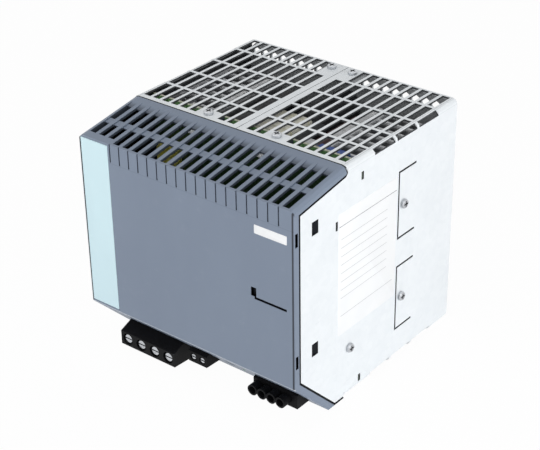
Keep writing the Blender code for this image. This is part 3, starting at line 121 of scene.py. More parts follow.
@dataclass(frozen=True)
class Field:
    """A value, colour or vector that changes over a surface: one output socket of a node tree."""

    tree: "Tree"
    socket: bpy.types.NodeSocket

    def maths(self, operation: str, *terms: "Term") -> "Field":
        """The result of one Math node with the given inputs."""
        return self.tree.node("ShaderNodeMath", {"operation": operation}, dict(enumerate(terms)))

    def __add__(self, other: "Term") -> "Field":
        """self + other."""
        return self.maths("ADD", self, other)

    def __radd__(self, other: "Term") -> "Field":
        """other + self."""
        return self.maths("ADD", other, self)

    def __sub__(self, other: "Term") -> "Field":
        """self - other."""
        return self.maths("SUBTRACT", self, other)

    def __rsub__(self, other: "Term") -> "Field":
        """other - self."""
        return self.maths("SUBTRACT", other, self)

    def __mul__(self, other: "Term") -> "Field":
        """self * other."""
        return self.maths("MULTIPLY", self, other)

    def __rmul__(self, other: "Term") -> "Field":
        """other * self."""
        return self.maths("MULTIPLY", other, self)

    def __truediv__(self, other: "Term") -> "Field":
        """self / other."""
        return self.maths("DIVIDE", self, other)

    def __mod__(self, other: "Term") -> "Field":
        """self % other, never negative."""
        return self.maths("FLOORED_MODULO", self, other)

    def __abs__(self) -> "Field":
        """The size of self without its sign."""
        return self.maths("ABSOLUTE", self)

    def most(self, other: "Term") -> "Field":
        """The greater of self and other."""
        return self.maths("MAXIMUM", self, other)

    def least(self, other: "Term") -> "Field":
        """The smaller of self and other."""
        return self.maths("MINIMUM", self, other)

    def rise(self, low: float, high: float) -> "Field":
        """Runs smoothly from 0 at low to 1 at high."""
        sockets = {"Value": self, "From Min": low, "From Max": high}
        return self.tree.node("ShaderNodeMapRange", {"interpolation_type": "SMOOTHSTEP"}, sockets)

    def fall(self, low: float, high: float) -> "Field":
        """Runs smoothly from 1 at low to 0 at high."""
        return 1 - self.rise(low, high)

    def band(self, low: float, high: float, soft: float) -> "Field":
        """Is 1 between low and high and fades out over soft on both sides."""
        return self.rise(low - soft, low) * self.fall(high, high + soft)


Term = Union[Field, float]
Axes = tuple[Field, Field, Field]
Paint = Union[Field, Colour, Rgb]


class Tree:
    """The nodes of one material or of the world."""

    def __init__(self, owner: Union[bpy.types.Material, bpy.types.World]) -> None:
        """Starts with an empty tree.

        Args:
            owner: What the nodes belong to.
        """
        owner.use_nodes = True
        self.graph = owner.node_tree
        self.graph.nodes.clear()

    def node(
        self,
        kind: str,
        settings: Optional[dict] = None,
        sockets: Optional[dict] = None,
        output: Union[int, str] = 0,
    ) -> Field:
        """Adds any node.

        Args:
            kind: The node's type.
            settings: Its own settings, set first.
            sockets: Values or fields for its inputs, by name or number.
            output: The output that is wanted.

        Returns:
            The field of that output, or of the first input on a node that has no output.
        """
        made = self.graph.nodes.new(kind)
        for key, value in (settings or {}).items():
            setattr(made, key, value)
        for key, value in (sockets or {}).items():
            if isinstance(value, Field):
                self.graph.links.new(value.socket, made.inputs[key])
            else:
                made.inputs[key].default_value = value
        if made.outputs:
            return Field(self, made.outputs[output])
        return Field(self, made.inputs[0])

    def place(self) -> Field:
        """The point on the surface, in the object's own frame, in metres."""
        return self.node("ShaderNodeTexCoord", output="Object")

    def axes(self, front: float = 0.0) -> Axes:
        """The point on the surface, split up.

        Args:
            front: Where y is counted from, in metres.

        Returns:
            x, y and z in millimetres.
        """
        point = self.place()
        parts = [self.node("ShaderNodeSeparateXYZ", None, {0: point}, name) for name in "XYZ"]
        return parts[0] / MM, (parts[1] - front) / MM, parts[2] / MM

    def noise(self, size: float, detail: float = 2.0, along: Three = (1, 1, 1)) -> Field:
        """A soft random cloud.

        Args:
            size: Size of its spots in millimetres.
            detail: How many finer layers it has.
            along: Scale of each axis; a small one draws the spots out along that axis.

        Returns:
            A value around 0.5.
        """
        drawn = self.node("ShaderNodeVectorMath", {"operation": "MULTIPLY"}, {0: self.place(), 1: along})
        sockets = {"Vector": drawn, "Scale": 1 / (size * MM), "Detail": detail}
        return self.node("ShaderNodeTexNoise", None, sockets)

    def cells(self, size: float, output: str = "Distance") -> Field:
        """Random cells, sized in millimetres: "Distance" from a cell's middle, or its random "Color"."""
        sockets = {"Vector": self.place(), "Scale": 1 / (size * MM)}
        return self.node("ShaderNodeTexVoronoi", None, sockets, output)

    def mix(self, share: Term, first: Paint, second: Paint) -> Field:
        """Goes from one colour to another.

        Args:
            share: 0 for the first colour, 1 for the second.
            first: The colour at 0: a field, a linear colour or one as it is seen on a screen.
            second: The colour at 1, likewise.

        Returns:
            The mixed colour.
        """
        settings = {"data_type": "RGBA", "clamp_factor": True}
        sockets = {0: share}
        for key, end in ((6, first), (7, second)):
            sockets[key] = srgb(*end) if isinstance(end, tuple) and len(end) == 3 else end
        return self.node("ShaderNodeMix", settings, sockets, 2)

    def crevice(self, reach: float) -> Field:
        """Finds slots and inner corners of the piece itself by ambient occlusion; the finishes paint shade
        where it finds them.

        Args:
            reach: How wide a slot still counts, in millimetres.

        Returns:
            1 deep in a slot and 0 in the open.
        """
        settings = {"samples": 8, "only_local": True}
        open_share = self.node("ShaderNodeAmbientOcclusion", settings, {"Distance": reach * MM}, "AO")
        return open_share.fall(0.2, 0.8)

    def surface(self, colour: Field, rough: Field, relief: Field, depth: float, **more: Term) -> None:
        """Closes the tree with one Principled shader.

        Args:
            colour: The surface's colour.
            rough: Its roughness.
            relief: Its height, as a share of depth.
            depth: The relief's full depth in millimetres.
            more: Other inputs of the shader, by name.
        """
        normal = self.node("ShaderNodeBump", None, {"Height": relief, "Distance": depth * MM})
        sockets = {"Base Color": colour, "Roughness": rough, "Normal": normal, **more}
        shader = self.node("ShaderNodeBsdfPrincipled", None, sockets)
        self.node("ShaderNodeOutputMaterial", None, {"Surface": shader})


@dataclass(frozen=True)
class Finish:
    """One surface finish of the supply."""

    name: str

    @cached_property
    def tree(self) -> Tree:
        """The nodes of a new material with the finish's name."""
        return Tree(bpy.data.materials.new(self.name))

    def material(self) -> bpy.types.Material:
        """Gives the Blender material, painted at its first use.

        Returns:
            The material.
        """
        if self.name not in bpy.data.materials:
            self.paint()
        return bpy.data.materials[self.name]

    def on(self, *names: str) -> None:
        """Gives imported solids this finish.

        Args:
            names: The nodes.
        """
        for name in names:
            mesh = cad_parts[name].data
            mesh.materials.clear()
            mesh.materials.append(self.material())
            LOG.info("solid %s: %s", name, self.name)

    def paint(self) -> None:
        """Builds the material's nodes."""
        raise NotImplementedError


@dataclass(frozen=True)
class MouldedPlastic(Finish):
    """Moulded plastic with a spark-eroded grain, a slight flow mottle, paler rubbed spots and painted shade
    in its slots and corners.
    """

    colour: Rgb
    rubbed: Rgb
    grain: float = 0.35
    depth: float = 0.012
    roughness: float = 0.45
    rubbing: float = 0.25
    specular: float = 0.4

    def darker(self, *shares: float) -> Colour:
        """The linear colour with its red, green and blue each lowered to a share."""
        levels = [level * share for level, share in zip(srgb(*self.colour), shares)]
        return (*levels, 1.0)

    def colours(self) -> Field:
        """Mottles the colour.

        Returns:
            The colour over the surface.
        """
        tree = self.tree
        flow = tree.noise(40.0, 3.0, (1, 1, 0.4)).rise(0.25, 0.75)
        grit = tree.noise(self.grain * 2, 1.0)
        rub = tree.noise(9.0, 4.0).rise(0.56, 0.8) * grit.rise(0.35, 0.65)
        cloudy = tree.mix(flow, self.darker(0.94, 0.94, 0.95), self.colour)
        return tree.mix(rub * self.rubbing, cloudy, self.rubbed)

    def sheen(self) -> tuple[Field, Field, float]:
        """Roughness and grain, which every plastic here shares.

        Returns:
            The roughness, the grain's relief and its depth.
        """
        grit = self.tree.noise(self.grain, 2.0)
        hands = self.tree.noise(22.0, 3.0)
        rough = self.roughness - 0.06 + grit * 0.06 + hands * 0.08
        return rough, grit, self.depth

    def paint(self) -> None:
        """Builds the material's nodes."""
        tree = self.tree
        # Painted shade: slots and inner corners are darkened towards a darker copy of the colour.
        crevice_shade = self.darker(0.35, 0.35, 0.35)
        colour = tree.mix(tree.crevice(1.2) * 0.7, self.colours(), crevice_shade)
        tree.surface(colour, *self.sheen(), **{"Specular IOR Level": self.specular})


@dataclass(frozen=True)
class HoodPlastic(MouldedPlastic):
    """The hood's plastic, with painted shade in its grooves, louvres, slits and corners and a painted
    highlight along its lower front edge.
    """

    half: float = 75.0
    face_top: float = 138.0
    face_bottom: float = 30.0
    groove_bottom: float = 127.0
    slope: float = 7.0 / 45.6
    bridge: Band = (16.6, 21.4)
    ramp: Band = (34.9, 45.0)
    recess: float = 0.75
    louvre_half: float = 71.0
    louvre_low: Band = (112.0, 118.0)
    gap: float = 4.4
    lip: float = 0.35
    wall: float = 70.0
    pocket_across: Band = (21.0, 73.0)
    pocket_depth: Band = (0.3, 2.4)
    pocket_height: Band = (70.0, 90.0)
    grip_across: Band = (73.3, 74.9)
    grip_depth: Band = (0.95, 3.4)
    # Colour of the painted shade in the grooves, louvres and corners.
    recess_shade: Rgb = (34, 39, 48)
    shadow: Rgb = (20, 21, 24)
    # Colour of the painted highlight along the lower front edge.
    edge: Rgb = (214, 220, 226)

    def paint(self) -> None:
        """Builds the material's nodes."""
        tree = self.tree
        at = tree.axes(FRONT)
        _, y, z = at
        # Painted shade in the grooves along the front's side edges.
        colour = tree.mix(self.groove_shade(at), self.colours(), self.recess_shade)
        # Painted highlight: a pale line along the lower front edge.
        rim = z.fall(self.face_bottom + 0.1, self.face_bottom + 0.5) * y.fall(0.4, 1.2)
        colour = tree.mix(0.7 * rim, colour, self.edge)
        # Painted shade in the hood's own slots and inner corners.
        colour = tree.mix(0.9 * tree.crevice(1.6), colour, self.recess_shade)
        # Painted shade on the louvres' walls and on the ramps behind them.
        colour = tree.mix(0.8 * self.louvres(at), colour, self.recess_shade)
        shade = self.openings(at).most(self.flank(at))
        colour = tree.mix(0.97 * shade, colour, self.shadow)
        more = {"Specular IOR Level": self.specular, "Metallic": shade}
        tree.surface(colour, *self.sheen(), **more)

    def below(self, at: Axes) -> Field:
        """How far a point lies under the slope's surface, in millimetres."""
        return at[1] * self.slope + self.face_top - at[2]

    def groove_shade(self, at: Axes) -> Field:
        """Finds the dark lines painted as shade in the grooves by the front's side edges, and a faint dark
        line under the front grooves.

        Args:
            at: The point across, in depth and up, in millimetres.

        Returns:
            How dark the lines are.
        """
        x, y, z = at
        corner = abs(abs(x) - self.half + 0.9).fall(0.25, 0.75) * y.fall(0.8, 1.4)
        under_grooves = abs(z - self.groove_bottom + 0.5).fall(0.06, 0.3) * y.fall(0.02, 0.12)
        return corner * 0.95 + under_grooves * 0.15

    def louvres(self, at: Axes) -> Field:
        """Finds the walls inside the louvres and the ramps behind them, where shade is painted.

        Args:
            at: The point across, in depth and up, in millimetres.

        Returns:
            1 inside the louvres, and less on the ramps.
        """
        x, y, z = at
        below = self.below(at)
        ramp = y.band(*self.ramp, 0.15)
        sunk = y.band(*self.bridge, 0.15).most(ramp)
        walls = (below - sunk * self.recess).rise(0.1, 0.45)
        shaded = ramp * below.rise(0.04, 0.7) * 0.8
        across = abs(x).fall(self.louvre_half, self.louvre_half + 0.6)
        return walls.most(shaded) * y.rise(1.2, 1.6) * across * z.rise(*self.louvre_low)

    def openings(self, at: Axes) -> Field:
        """Finds the insides of the label slit and of the grip slots.

        Args:
            at: The point across, in depth and up, in millimetres.

        Returns:
            1 inside them.
        """
        x, y, z = at
        pocket = y.band(*self.pocket_depth, 0.15) * z.band(*self.pocket_height, 0.3)
        pocket = pocket * x.band(*self.pocket_across, 0.5)
        grips = abs(x).band(*self.grip_across, 0.05) * y.band(*self.grip_depth, 0.05)
        grips = grips * self.below(at).rise(6.0, 7.0) * (z - self.face_bottom).rise(3.0, 4.0)
        return pocket.most(grips)

    def flank(self, at: Axes) -> Field:
        """Finds the lip along the gap and the side walls behind the sheet, seen through its holes.

        Args:
            at: The point across, in depth and up, in millimetres.

        Returns:
            1 on that lip and on those walls.
        """
        x, y, z = at
        start = self.gap - self.lip
        covered = y.rise(start - 0.1, start) * self.below(at).rise(start - 0.1, start)
        chamfer = self.face_bottom + start * math.sqrt(2)
        return abs(x).rise(self.wall - 0.1, self.wall) * covered * (y + z).rise(chamfer - 0.1, chamfer)


@dataclass(frozen=True)
class ZincSheet(Finish):
    """Galvanised steel sheet: faint spangle, rolling lines, a few scuffs and painted shade at its cut
    edges, slits and corners.
    """

    pale: Rgb = (243, 247, 250)
    dull: Rgb = (231, 236, 240)
    scuff: Rgb = (205, 211, 216)
    # Colour of the painted shade at slits and corners.
    slot: Rgb = (84, 88, 93)
    metallic: float = 0.12
    spangle: float = 3.2

    def inner(self) -> Term:
        """How much painted shade darkens the point: none on plain sheet."""
        return 0.0

    def cut_edges(self) -> Term:
        """How much the point is a cut edge whose gleam is taken away to keep its painted shade dark: not at
        all on plain sheet.
        """
        return 0.0

    def paint(self) -> None:
        """Builds the material's nodes."""
        tree = self.tree
        cloud = tree.noise(18.0, 4.0).rise(0.25, 0.75)
        flake = tree.node("ShaderNodeSeparateColor", None, {0: tree.cells(self.spangle, "Color")})
        rolled = tree.noise(0.5, 2.0, (1, 1, 0.03))
        scuffs = tree.noise(1.6, 3.0, (1, 0.12, 1)).rise(0.66, 0.78) * tree.noise(26.0).rise(0.5, 0.66)
        colour = tree.mix(cloud * 0.35 + flake * 0.3, self.pale, self.dull)
        colour = tree.mix(scuffs * 0.5, colour, self.scuff)
        # Painted shade: slits and inner corners are darkened, as found by ambient occlusion.
        colour = tree.mix(tree.crevice(1.4) * 0.6, colour, self.slot)
        # Painted shade on inner faces and cut edges.
        inner_shade = self.inner()
        if isinstance(inner_shade, Field):
            colour = tree.mix(inner_shade * (0.9 + rolled * 0.1), colour, PAINTED_INNER_SHADE)
        rough = 0.42 + rolled * 0.1 + flake * 0.08 + cloud * 0.05
        relief = rolled * 0.6 + flake * 0.4
        # Cut edges turn fully metallic, which takes their gleam away so that their painted shade stays
        # dark.
        metallic = self.cut_edges() * (1 - self.metallic) + self.metallic
        tree.surface(colour, rough, relief, 0.004, Metallic=metallic)


@dataclass(frozen=True)
class InnerShadedShell(ZincSheet):
    """A half shell: zinc outside, with painted shade on its inner faces and on its cut edge along the hood.
    """

    half: float = 75.0
    height: float = 145.0
    edge_depth: float = 45.6
    face_top: float = 138.0
    face_bottom: float = 30.0
    margin: float = 5.2
    sheet: float = 1.2
    bend: float = 4.0
    corner: Band = (3.0, 3.4)

    def inner(self) -> Term:
        """Finds where the shell is painted dark as shade.

        Returns:
            1 on the inner faces and on the cut edges along the hood.
        """
        x, y, z = self.tree.axes(FRONT)
        side = self.half - abs(x)
        top = self.height - z
        upper = side.rise(0.06, 0.2) * top.rise(0.04, 0.14) * (side + top).rise(*self.corner)
        lower = z.rise(0.7, 0.9) * (side + z).rise(*self.corner)
        top_edge = (y - self.edge_depth).fall(0.02, 0.12) * top.fall(self.sheet, self.sheet + 0.2)
        slope = math.atan2(self.height - self.face_top, self.edge_depth)
        under = (y * math.tan(slope) + self.face_top - z) * math.cos(slope)
        over = (y + z - self.face_bottom) / math.sqrt(2)
        rim = y.least(under).least(over) - self.margin
        side_edge = rim.fall(0.02, 0.1) * side.fall(self.sheet, self.sheet + 0.2)
        side_edge = side_edge * (self.edge_depth - y).rise(1.5, 1.8)
        return (upper * lower).most(top_edge).most(side_edge)

    def cut_edges(self) -> Term:
        """Finds the cut edges inside the side plate's thickness, whose gleam is taken away to keep their
        painted shade dark.

        Returns:
            1 on the edges of the side's cuts and windows, and along the hood.
        """
        x, _, z = self.tree.axes(FRONT)
        within = (self.half - abs(x)).band(0.08, self.sheet + 0.1, 0.06)
        return within * z.band(self.bend, self.height - self.bend, 0.5)


@dataclass(frozen=True)
class InnerShadedBack(ZincSheet):
    """The back plate: zinc outside, with painted shade on its inner face."""

    inner_depth: float = 148.4

    def inner(self) -> Term:
        """How much painted shade darkens the point: some of it on the plate's inner face."""
        _, y, _ = self.tree.axes(FRONT)
        return y.fall(self.inner_depth + 0.1, self.inner_depth + 0.4) * 0.6


@dataclass(frozen=True)
class PlatedSteel(Finish):
    """Bright plated steel of the screws, with fine turning marks, dull spots and painted shade in their
    recesses.
    """

    bright: Rgb = (196, 199, 203)
    dull: Rgb = (128, 132, 137)
    # Colour of the painted shade in the recesses.
    recess: Rgb = (26, 27, 30)
    roughness: float = 0.24

    def paint(self) -> None:
        """Builds the material's nodes."""
        tree = self.tree
        spots = tree.noise(1.1, 4.0).rise(0.45, 0.75)
        turned = tree.noise(0.16, 2.0)
        colour = tree.mix(spots * 0.6, self.bright, self.dull)
        # Painted shade: the recess in each head and the corners under it are darkened, as found by ambient
        # occlusion.
        colour = tree.mix(tree.crevice(1.3), colour, self.recess)
        rough = self.roughness + spots * 0.14 + turned * 0.08
        tree.surface(colour, rough, turned, 0.006, Metallic=1.0)


@dataclass(frozen=True)
class DrawnMetal(Finish):
    """Extruded aluminium or tinned copper, with die lines along one axis and painted shade low down in the
    fins.
    """

    bright: Rgb
    dull: Rgb
    along: Three = (1, 1, 0.02)
    roughness: float = 0.36
    metallic: float = 0.6
    top: Optional[float] = None
    # Colour of the painted shade low down in the fins.
    depths: Rgb = (58, 60, 64)

    def paint(self) -> None:
        """Builds the material's nodes."""
        tree = self.tree
        lines = tree.noise(0.6, 3.0, self.along)
        film = tree.noise(14.0, 3.0).rise(0.35, 0.7)
        colour = tree.mix(film * 0.6 + lines * 0.3, self.bright, self.dull)
        if self.top is not None:
            _, _, z = tree.axes()
            # Painted shade: darker further below the top.
            depth_shade = (self.top - z).rise(0.3, 2.5)
            colour = tree.mix(0.85 * depth_shade, colour, self.depths)
        rough = self.roughness + film * 0.12 + lines * 0.1
        tree.surface(colour, rough, lines, 0.02, Metallic=self.metallic)


@dataclass(frozen=True)
class Laminate(Finish):
    """Green circuit board: masked tracks, tinned pads and a pale sawn top edge, with painted shade on its
    front face below the top and on its end tabs.
    """

    top: float
    front: float
    mask: Rgb = (104, 150, 96)
    track: Rgb = (130, 178, 118)
    pad: Rgb = (206, 204, 190)
    edge: Rgb = (226, 229, 206)
    tab: Rgb = (34, 38, 34)
    # Colour of the painted shade on the front face.
    depths: Rgb = (20, 30, 22)
    tab_from: Band = (71.5, 72.5)
    pitch: float = 2.4

    def paint(self) -> None:
        """Builds the material's nodes."""
        tree = self.tree
        x, y, z = tree.axes(self.front)
        wander = tree.noise(16.0, 1.0)
        lines = abs((x * 0.5 + z * 0.5 + wander * 12) % self.pitch - self.pitch / 2).fall(0.45, 0.62)
        pads = tree.cells(3.4).fall(0.2, 0.26) * tree.noise(11.0).rise(0.48, 0.56)
        colour = tree.mix(lines * tree.noise(24.0).rise(0.4, 0.5), self.mask, self.track)
        colour = tree.mix(pads, colour, self.pad)
        # Painted shade on the front face below the top edge.
        depth_shade = y.fall(0.05, 0.3) * (self.top - z).rise(3.0, 9.0)
        colour = tree.mix(depth_shade * 0.8, colour, self.depths)
        colour = tree.mix((self.top - z).fall(0.1, 0.25), colour, self.edge)
        # Painted shade: the end tabs in the sheet's slots are darkened nearly to black.
        colour = tree.mix(abs(x).rise(*self.tab_from) * 0.95, colour, self.tab)
        weave = tree.noise(0.4, 1.0)
        rough = 0.3 + weave * 0.12 + pads * 0.1
        relief = lines * 0.5 + pads * 0.5
        tree.surface(colour, rough, relief, 0.035, Metallic=pads * 0.8)


@dataclass(frozen=True)
class Ferrite(Finish):
    """Pressed ferrite: dark, dry and slightly chipped."""

    body: Rgb = (38, 39, 42)
    chip: Rgb = (78, 79, 83)

    def paint(self) -> None:
        """Builds the material's nodes."""
        tree = self.tree
        grain = tree.noise(0.5, 3.0)
        chips = tree.cells(1.8).fall(0.08, 0.2) * tree.noise(7.0).rise(0.5, 0.62)
        colour = tree.mix(chips * 0.7 + grain * 0.2, self.body, self.chip)
        tree.surface(colour, 0.62 + grain * 0.2, grain - chips, 0.05)


@dataclass(frozen=True)
class WoundTape(Finish):
    """Cream insulating tape with overlapping turns."""

    cream: Rgb = (255, 254, 244)
    aged: Rgb = (250, 246, 208)
    lap: Rgb = (224, 214, 118)
    width: float = 8.0

    def paint(self) -> None:
        """Builds the material's nodes."""
        tree = self.tree
        _, y, _ = tree.axes()
        turn = y % self.width
        lap = turn.fall(0.15, 0.5)
        cloud = tree.noise(12.0, 3.0).rise(0.35, 0.7)
        weave = tree.noise(0.3, 1.0, (0.3, 1, 1))
        colour = tree.mix(cloud * 0.35 + turn * 0.02, self.cream, self.aged)
        colour = tree.mix(lap * 0.75, colour, self.lap)
        relief = turn / self.width + weave * 0.1
        tree.surface(colour, 0.38 + weave * 0.16, relief, 0.09)


@dataclass(frozen=True)
class CanSleeve(Finish):
    """A shrunk sleeve on a capacitor can, with one paler stripe along it."""

    sleeve: Rgb
    stripe: Rgb
    middle: Point
    stripe_angle: float = 0.9
    worn: Rgb = (120, 120, 126)

    def paint(self) -> None:
        """Builds the material's nodes."""
        tree = self.tree
        x, _, z = tree.axes()
        angle = x.maths("ARCTAN2", x - self.middle[0], z - self.middle[1])
        stripe = abs(angle - self.stripe_angle).fall(0.2, 0.24)
        draw = tree.noise(2.4, 3.0, (1, 0.15, 1))
        colour = tree.mix(stripe * 0.8, self.sleeve, self.stripe)
        colour = tree.mix(draw.rise(0.6, 0.8) * 0.2, colour, self.worn)
        tree.surface(colour, 0.28 + draw * 0.16, draw, 0.04, IOR=1.5)


@dataclass(frozen=True)
class DippedCoat(Finish):
    """A dipped or cast resin coat on a small component, uneven and shiny."""

    colour: Rgb
    thin: Rgb

    def paint(self) -> None:
        """Builds the material's nodes."""
        tree = self.tree
        runs = tree.noise(5.0, 3.0, (1, 1, 0.5)).rise(0.3, 0.75)
        pits = tree.cells(0.9).fall(0.05, 0.14)
        colour = tree.mix(runs * 0.7, self.colour, self.thin)
        rough = 0.22 + runs * 0.14 + pits * 0.2
        coat = {"Coat Weight": 0.2, "Coat Roughness": 0.3}
        tree.surface(colour, rough, runs - pits * 0.3, 0.03, **coat)


@dataclass(frozen=True)
class ClearPipe(Finish):
    """The light pipe's clear green plastic, with flow lines along it."""

    tint: Rgb = (176, 232, 188)
    deep: Rgb = (120, 200, 142)

    def paint(self) -> None:
        """Builds the material's nodes."""
        tree = self.tree
        flow = tree.noise(1.5, 2.0, (1, 0.2, 1))
        colour = tree.mix(flow.rise(0.3, 0.7), self.tint, self.deep)
        clear = {"Transmission Weight": 0.5, "IOR": 1.49}
        tree.surface(colour, 0.12 + flow * 0.1, flow, 0.02, **clear)


@dataclass(frozen=True)
class PrintedFilm(Finish):
    """White printed film of a plate or label, with ruled lines where the label has them."""

    film: Rgb = (249, 250, 251)
    shade: Rgb = (243, 245, 247)
    ink: Rgb = (112, 116, 122)
    rules: tuple[tuple[float, float, float, float, float], ...] = ()

    def paint(self) -> None:
        """Builds the material's nodes."""
        tree = self.tree
        _, y, z = tree.axes(FRONT)
        cloud = tree.noise(15.0, 3.0).rise(0.35, 0.75)
        tooth = tree.noise(0.25, 2.0)
        colour = tree.mix(cloud * 0.6 + tooth * 0.2, self.film, self.shade)
        for left, right, height, half, weight in self.rules:
            rule = y.band(left, right, 0.2) * abs(z - height).fall(half, half + 0.12)
            colour = tree.mix(rule * weight, colour, self.ink)
        tree.surface(colour, 0.42 + tooth * 0.12, tooth, 0.004, IOR=1.46)


@dataclass
class Piece:
    """An added piece, which rides on the housing and wears its own finish; its slot is held, but nothing
    reads it.
    """

    name: str
    finish: Finish
    slot: Slot

    def settle(self, *parts: tuple[Rows, Matrix]) -> None:
        """Makes the piece and hangs it on the housing.

        Args:
            parts: Its closed shapes: rows of points in millimetres, and where they go, in metres.
        """
        built = bmesh.new()
        for rows, move in parts:
            self.skin(built, rows, move)
        bmesh.ops.recalc_face_normals(built, faces=built.faces)
        mesh = bpy.data.meshes.new(self.name)
        built.to_mesh(mesh)
        built.free()
        mesh.shade_smooth()
        mesh.set_sharp_from_angle(angle=SHARP)
        piece = linked(self.name, mesh)
        mesh.materials.append(self.finish.material())
        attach(piece, HOUSING)
        LOG.info("piece %s: %d faces", self.name, len(mesh.polygons))

    @staticmethod
    def skin(built: bmesh.types.BMesh, rows: Rows, move: Matrix) -> None:
        """Skins rows of points that have one count each, and closes both ends.

        Args:
            built: The mesh.
            rows: The rows, in millimetres.
            move: Where they go, in metres.
        """
        rings = [[built.verts.new(move @ (point * MM)) for point in row] for row in rows]
        count = len(rings[0])
        for lower, upper in zip(rings, rings[1:]):
            for index in range(count):
                after = (index + 1) % count
                built.faces.new((lower[index], lower[after], upper[after], upper[index]))
        built.faces.new(list(reversed(rings[0])))
        built.faces.new(rings[-1])


def rounded_outline(width: float, height: float, radius: float, steps: int = 5) -> list[Vector]:
    """A rectangle with rounded corners about the origin.

    Args:
        width: Along the first axis, in millimetres.
        height: Along the second.
        radius: Of the corners.
        steps: Points in each corner.

    Returns:
        Its outline.
    """
    points = []
    for quarter in range(4):
        side = 1 if quarter in (0, 3) else -1
        rise = 1 if quarter in (0, 1) else -1
        for step in range(steps):
            angle = math.pi / 2 * (quarter + step / (steps - 1))
            across = side * (width / 2 - radius) + radius * math.cos(angle)
            up = rise * (height / 2 - radius) + radius * math.sin(angle)
            points.append(Vector((across, up, 0.0)))
    return points


def stacked_rows(levels: Sequence[Three], radius: float) -> Rows:
    """Rows of rounded rectangles one over the other; a level below the one before it makes a pocket.

    Args:
        levels: Width, height and place along z of each rectangle, in millimetres.
        radius: Of the first one's corners; the others keep its share.

    Returns:
        The rows, in order.
    """
    share = radius / levels[0][0]
    rows = []
    for width, height, place in levels:
        outline = rounded_outline(width, height, share * width)
        rows.append([point + Vector((0, 0, place)) for point in outline])
    return rows


def plate_rows(width: float, height: float, thick: float, radius: float, edge: float) -> Rows:
    """Rows of a plate with rounded corners and softened edges, standing on z = 0.

    Args:
        width: Along the first axis, in millimetres.
        height: Along the second.
        thick: Its thickness.
        radius: Of its corners.
        edge: How far the top edge is drawn in.

    Returns:
        The rows, from the bottom up.
    """
    steps = ((0.0, 0.0), (0.6, 0.0), (0.85, 0.3 * edge), (1.0, edge))
    levels = [(width - 2 * inset, height - 2 * inset, share * thick) for share, inset in steps]
    return stacked_rows(levels, radius)


def strip_rows(path: Sequence[Point], width: float, thick: float) -> Rows:
    """Rows of a bent strip of sheet.

    Args:
        path: Its middle line as y and z, in millimetres.
        width: Along x.
        thick: The sheet's thickness.

    Returns:
        The rows along the path.
    """
    rows = []
    for index, (along, up) in enumerate(path):
        before = path[max(index - 1, 0)]
        after = path[min(index + 1, len(path) - 1)]
        run = Vector((0, after[0] - before[0], after[1] - before[1])).normalized()
        out = Vector((0, -run.z, run.y))
        section = rounded_outline(width, thick, thick * 0.3, 3)
        rows.append([Vector((point.x, along, up)) + out * point.y for point in section])
    return rows


def lathe_rows(profile: Sequence[Point], steps: int = 24) -> Rows:
    """Rows of a turned shape about z.

    Args:
        profile: Radius and height of each row, in millimetres.
        steps: Points round the shape.

    Returns:
        The rows, in order.
    """
    turns = [2 * math.pi * step / steps for step in range(steps)]
    return [[Vector((r * math.cos(t), r * math.sin(t), h)) for t in turns] for r, h in profile]


def linked(name: str, data: bpy.types.ID) -> bpy.types.Object:
    """Adds an object to the scene.

    Args:
        name: Its name.
        data: Its mesh, lamp or camera.

    Returns:
        The object.
    """
    made = bpy.data.objects.new(name, data)
    bpy.context.scene.collection.objects.link(made)
    return made


def numbered(stem: str, count: int) -> list[str]:
    """The names of a row of nodes, counted from 1."""
    return [f"{stem}_{index + 1}" for index in range(count)]


def spot(across: float, depth: float, height: float) -> Vector:
    """A point given in millimetres with its depth from the front face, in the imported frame."""
    return Vector((across * MM, FRONT + depth * MM, height * MM))


@dataclass
class Housing:
    """The two sheet shells, the back plate and their screws, with the ruled label on the right side."""

    label_depth: Band = (37.8, 91.6)
    label_height: Band = (44.3, 120.0)
    label_thick: float = 0.12
    label_corner: float = 1.4
    label_edge: float = 0.06
    rule_height: float = 112.0
    rule_pitch: float = 5.2
    rule_count: int = 8
    rule_drop: float = 8.0
    rule_short: float = 6.0
    rule_half: float = 0.1
    rule_ink: float = 0.5
    header_inset: float = 0.6
    header_half: float = 0.14
    header_ink: float = 0.85
    foot_rise: float = 12.0
    foot_ink: float = 0.55
    side_insets: Band = (2.5, 3.0)

    def build(self) -> None:
        """Dresses the shells and adds the label."""
        InnerShadedShell("galvanised shell with painted inner shade").on("left_shell", "right_shell")
        InnerShadedBack("galvanised back").on("back_plate")
        screws = []
        for side in ("left", "right"):
            screws += [f"{side}_side_screw_{place}" for place in ("lower", "lug", "upper")]
            screws += [f"top_{place}_screw_{side}" for place in ("front", "back")]
        PlatedSteel("plated screws").on(*screws)
        self.label()

    def rules(self) -> tuple[tuple[float, float, float, float, float], ...]:
        """Lays out the label's ruled lines, which stand for no words.

        Returns:
            For each line its front and back end, height, half width and darkness.
        """
        front, back = self.label_depth
        left = front + self.side_insets[0]
        right = back - self.side_insets[1]
        ends = (front + self.header_inset, back - self.header_inset)
        lines = [(*ends, self.rule_height, self.header_half, self.header_ink)]
        for index in range(self.rule_count):
            height = self.rule_height - self.rule_drop - index * self.rule_pitch
            lines.append((left, right - self.rule_short, height, self.rule_half, self.rule_ink))
        lines.append((left, right, self.label_height[0] + self.foot_rise, self.rule_half, self.foot_ink))
        return tuple(lines)

    def label(self) -> None:
        """Adds the ruled label to the right shell."""
        front, back = self.label_depth
        low, high = self.label_height
        middle = spot(0, (front + back) / 2, (low + high) / 2)
        middle.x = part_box("right_shell")[1].x
        move = Matrix.Translation(middle) @ Axis.X.turn()
        rows = plate_rows(back - front, high - low, self.label_thick, self.label_corner, self.label_edge)
        film = PrintedFilm("ruled label film", rules=self.rules())
        Piece("side_label", film, Slot.ACCENT).settle((rows, move))


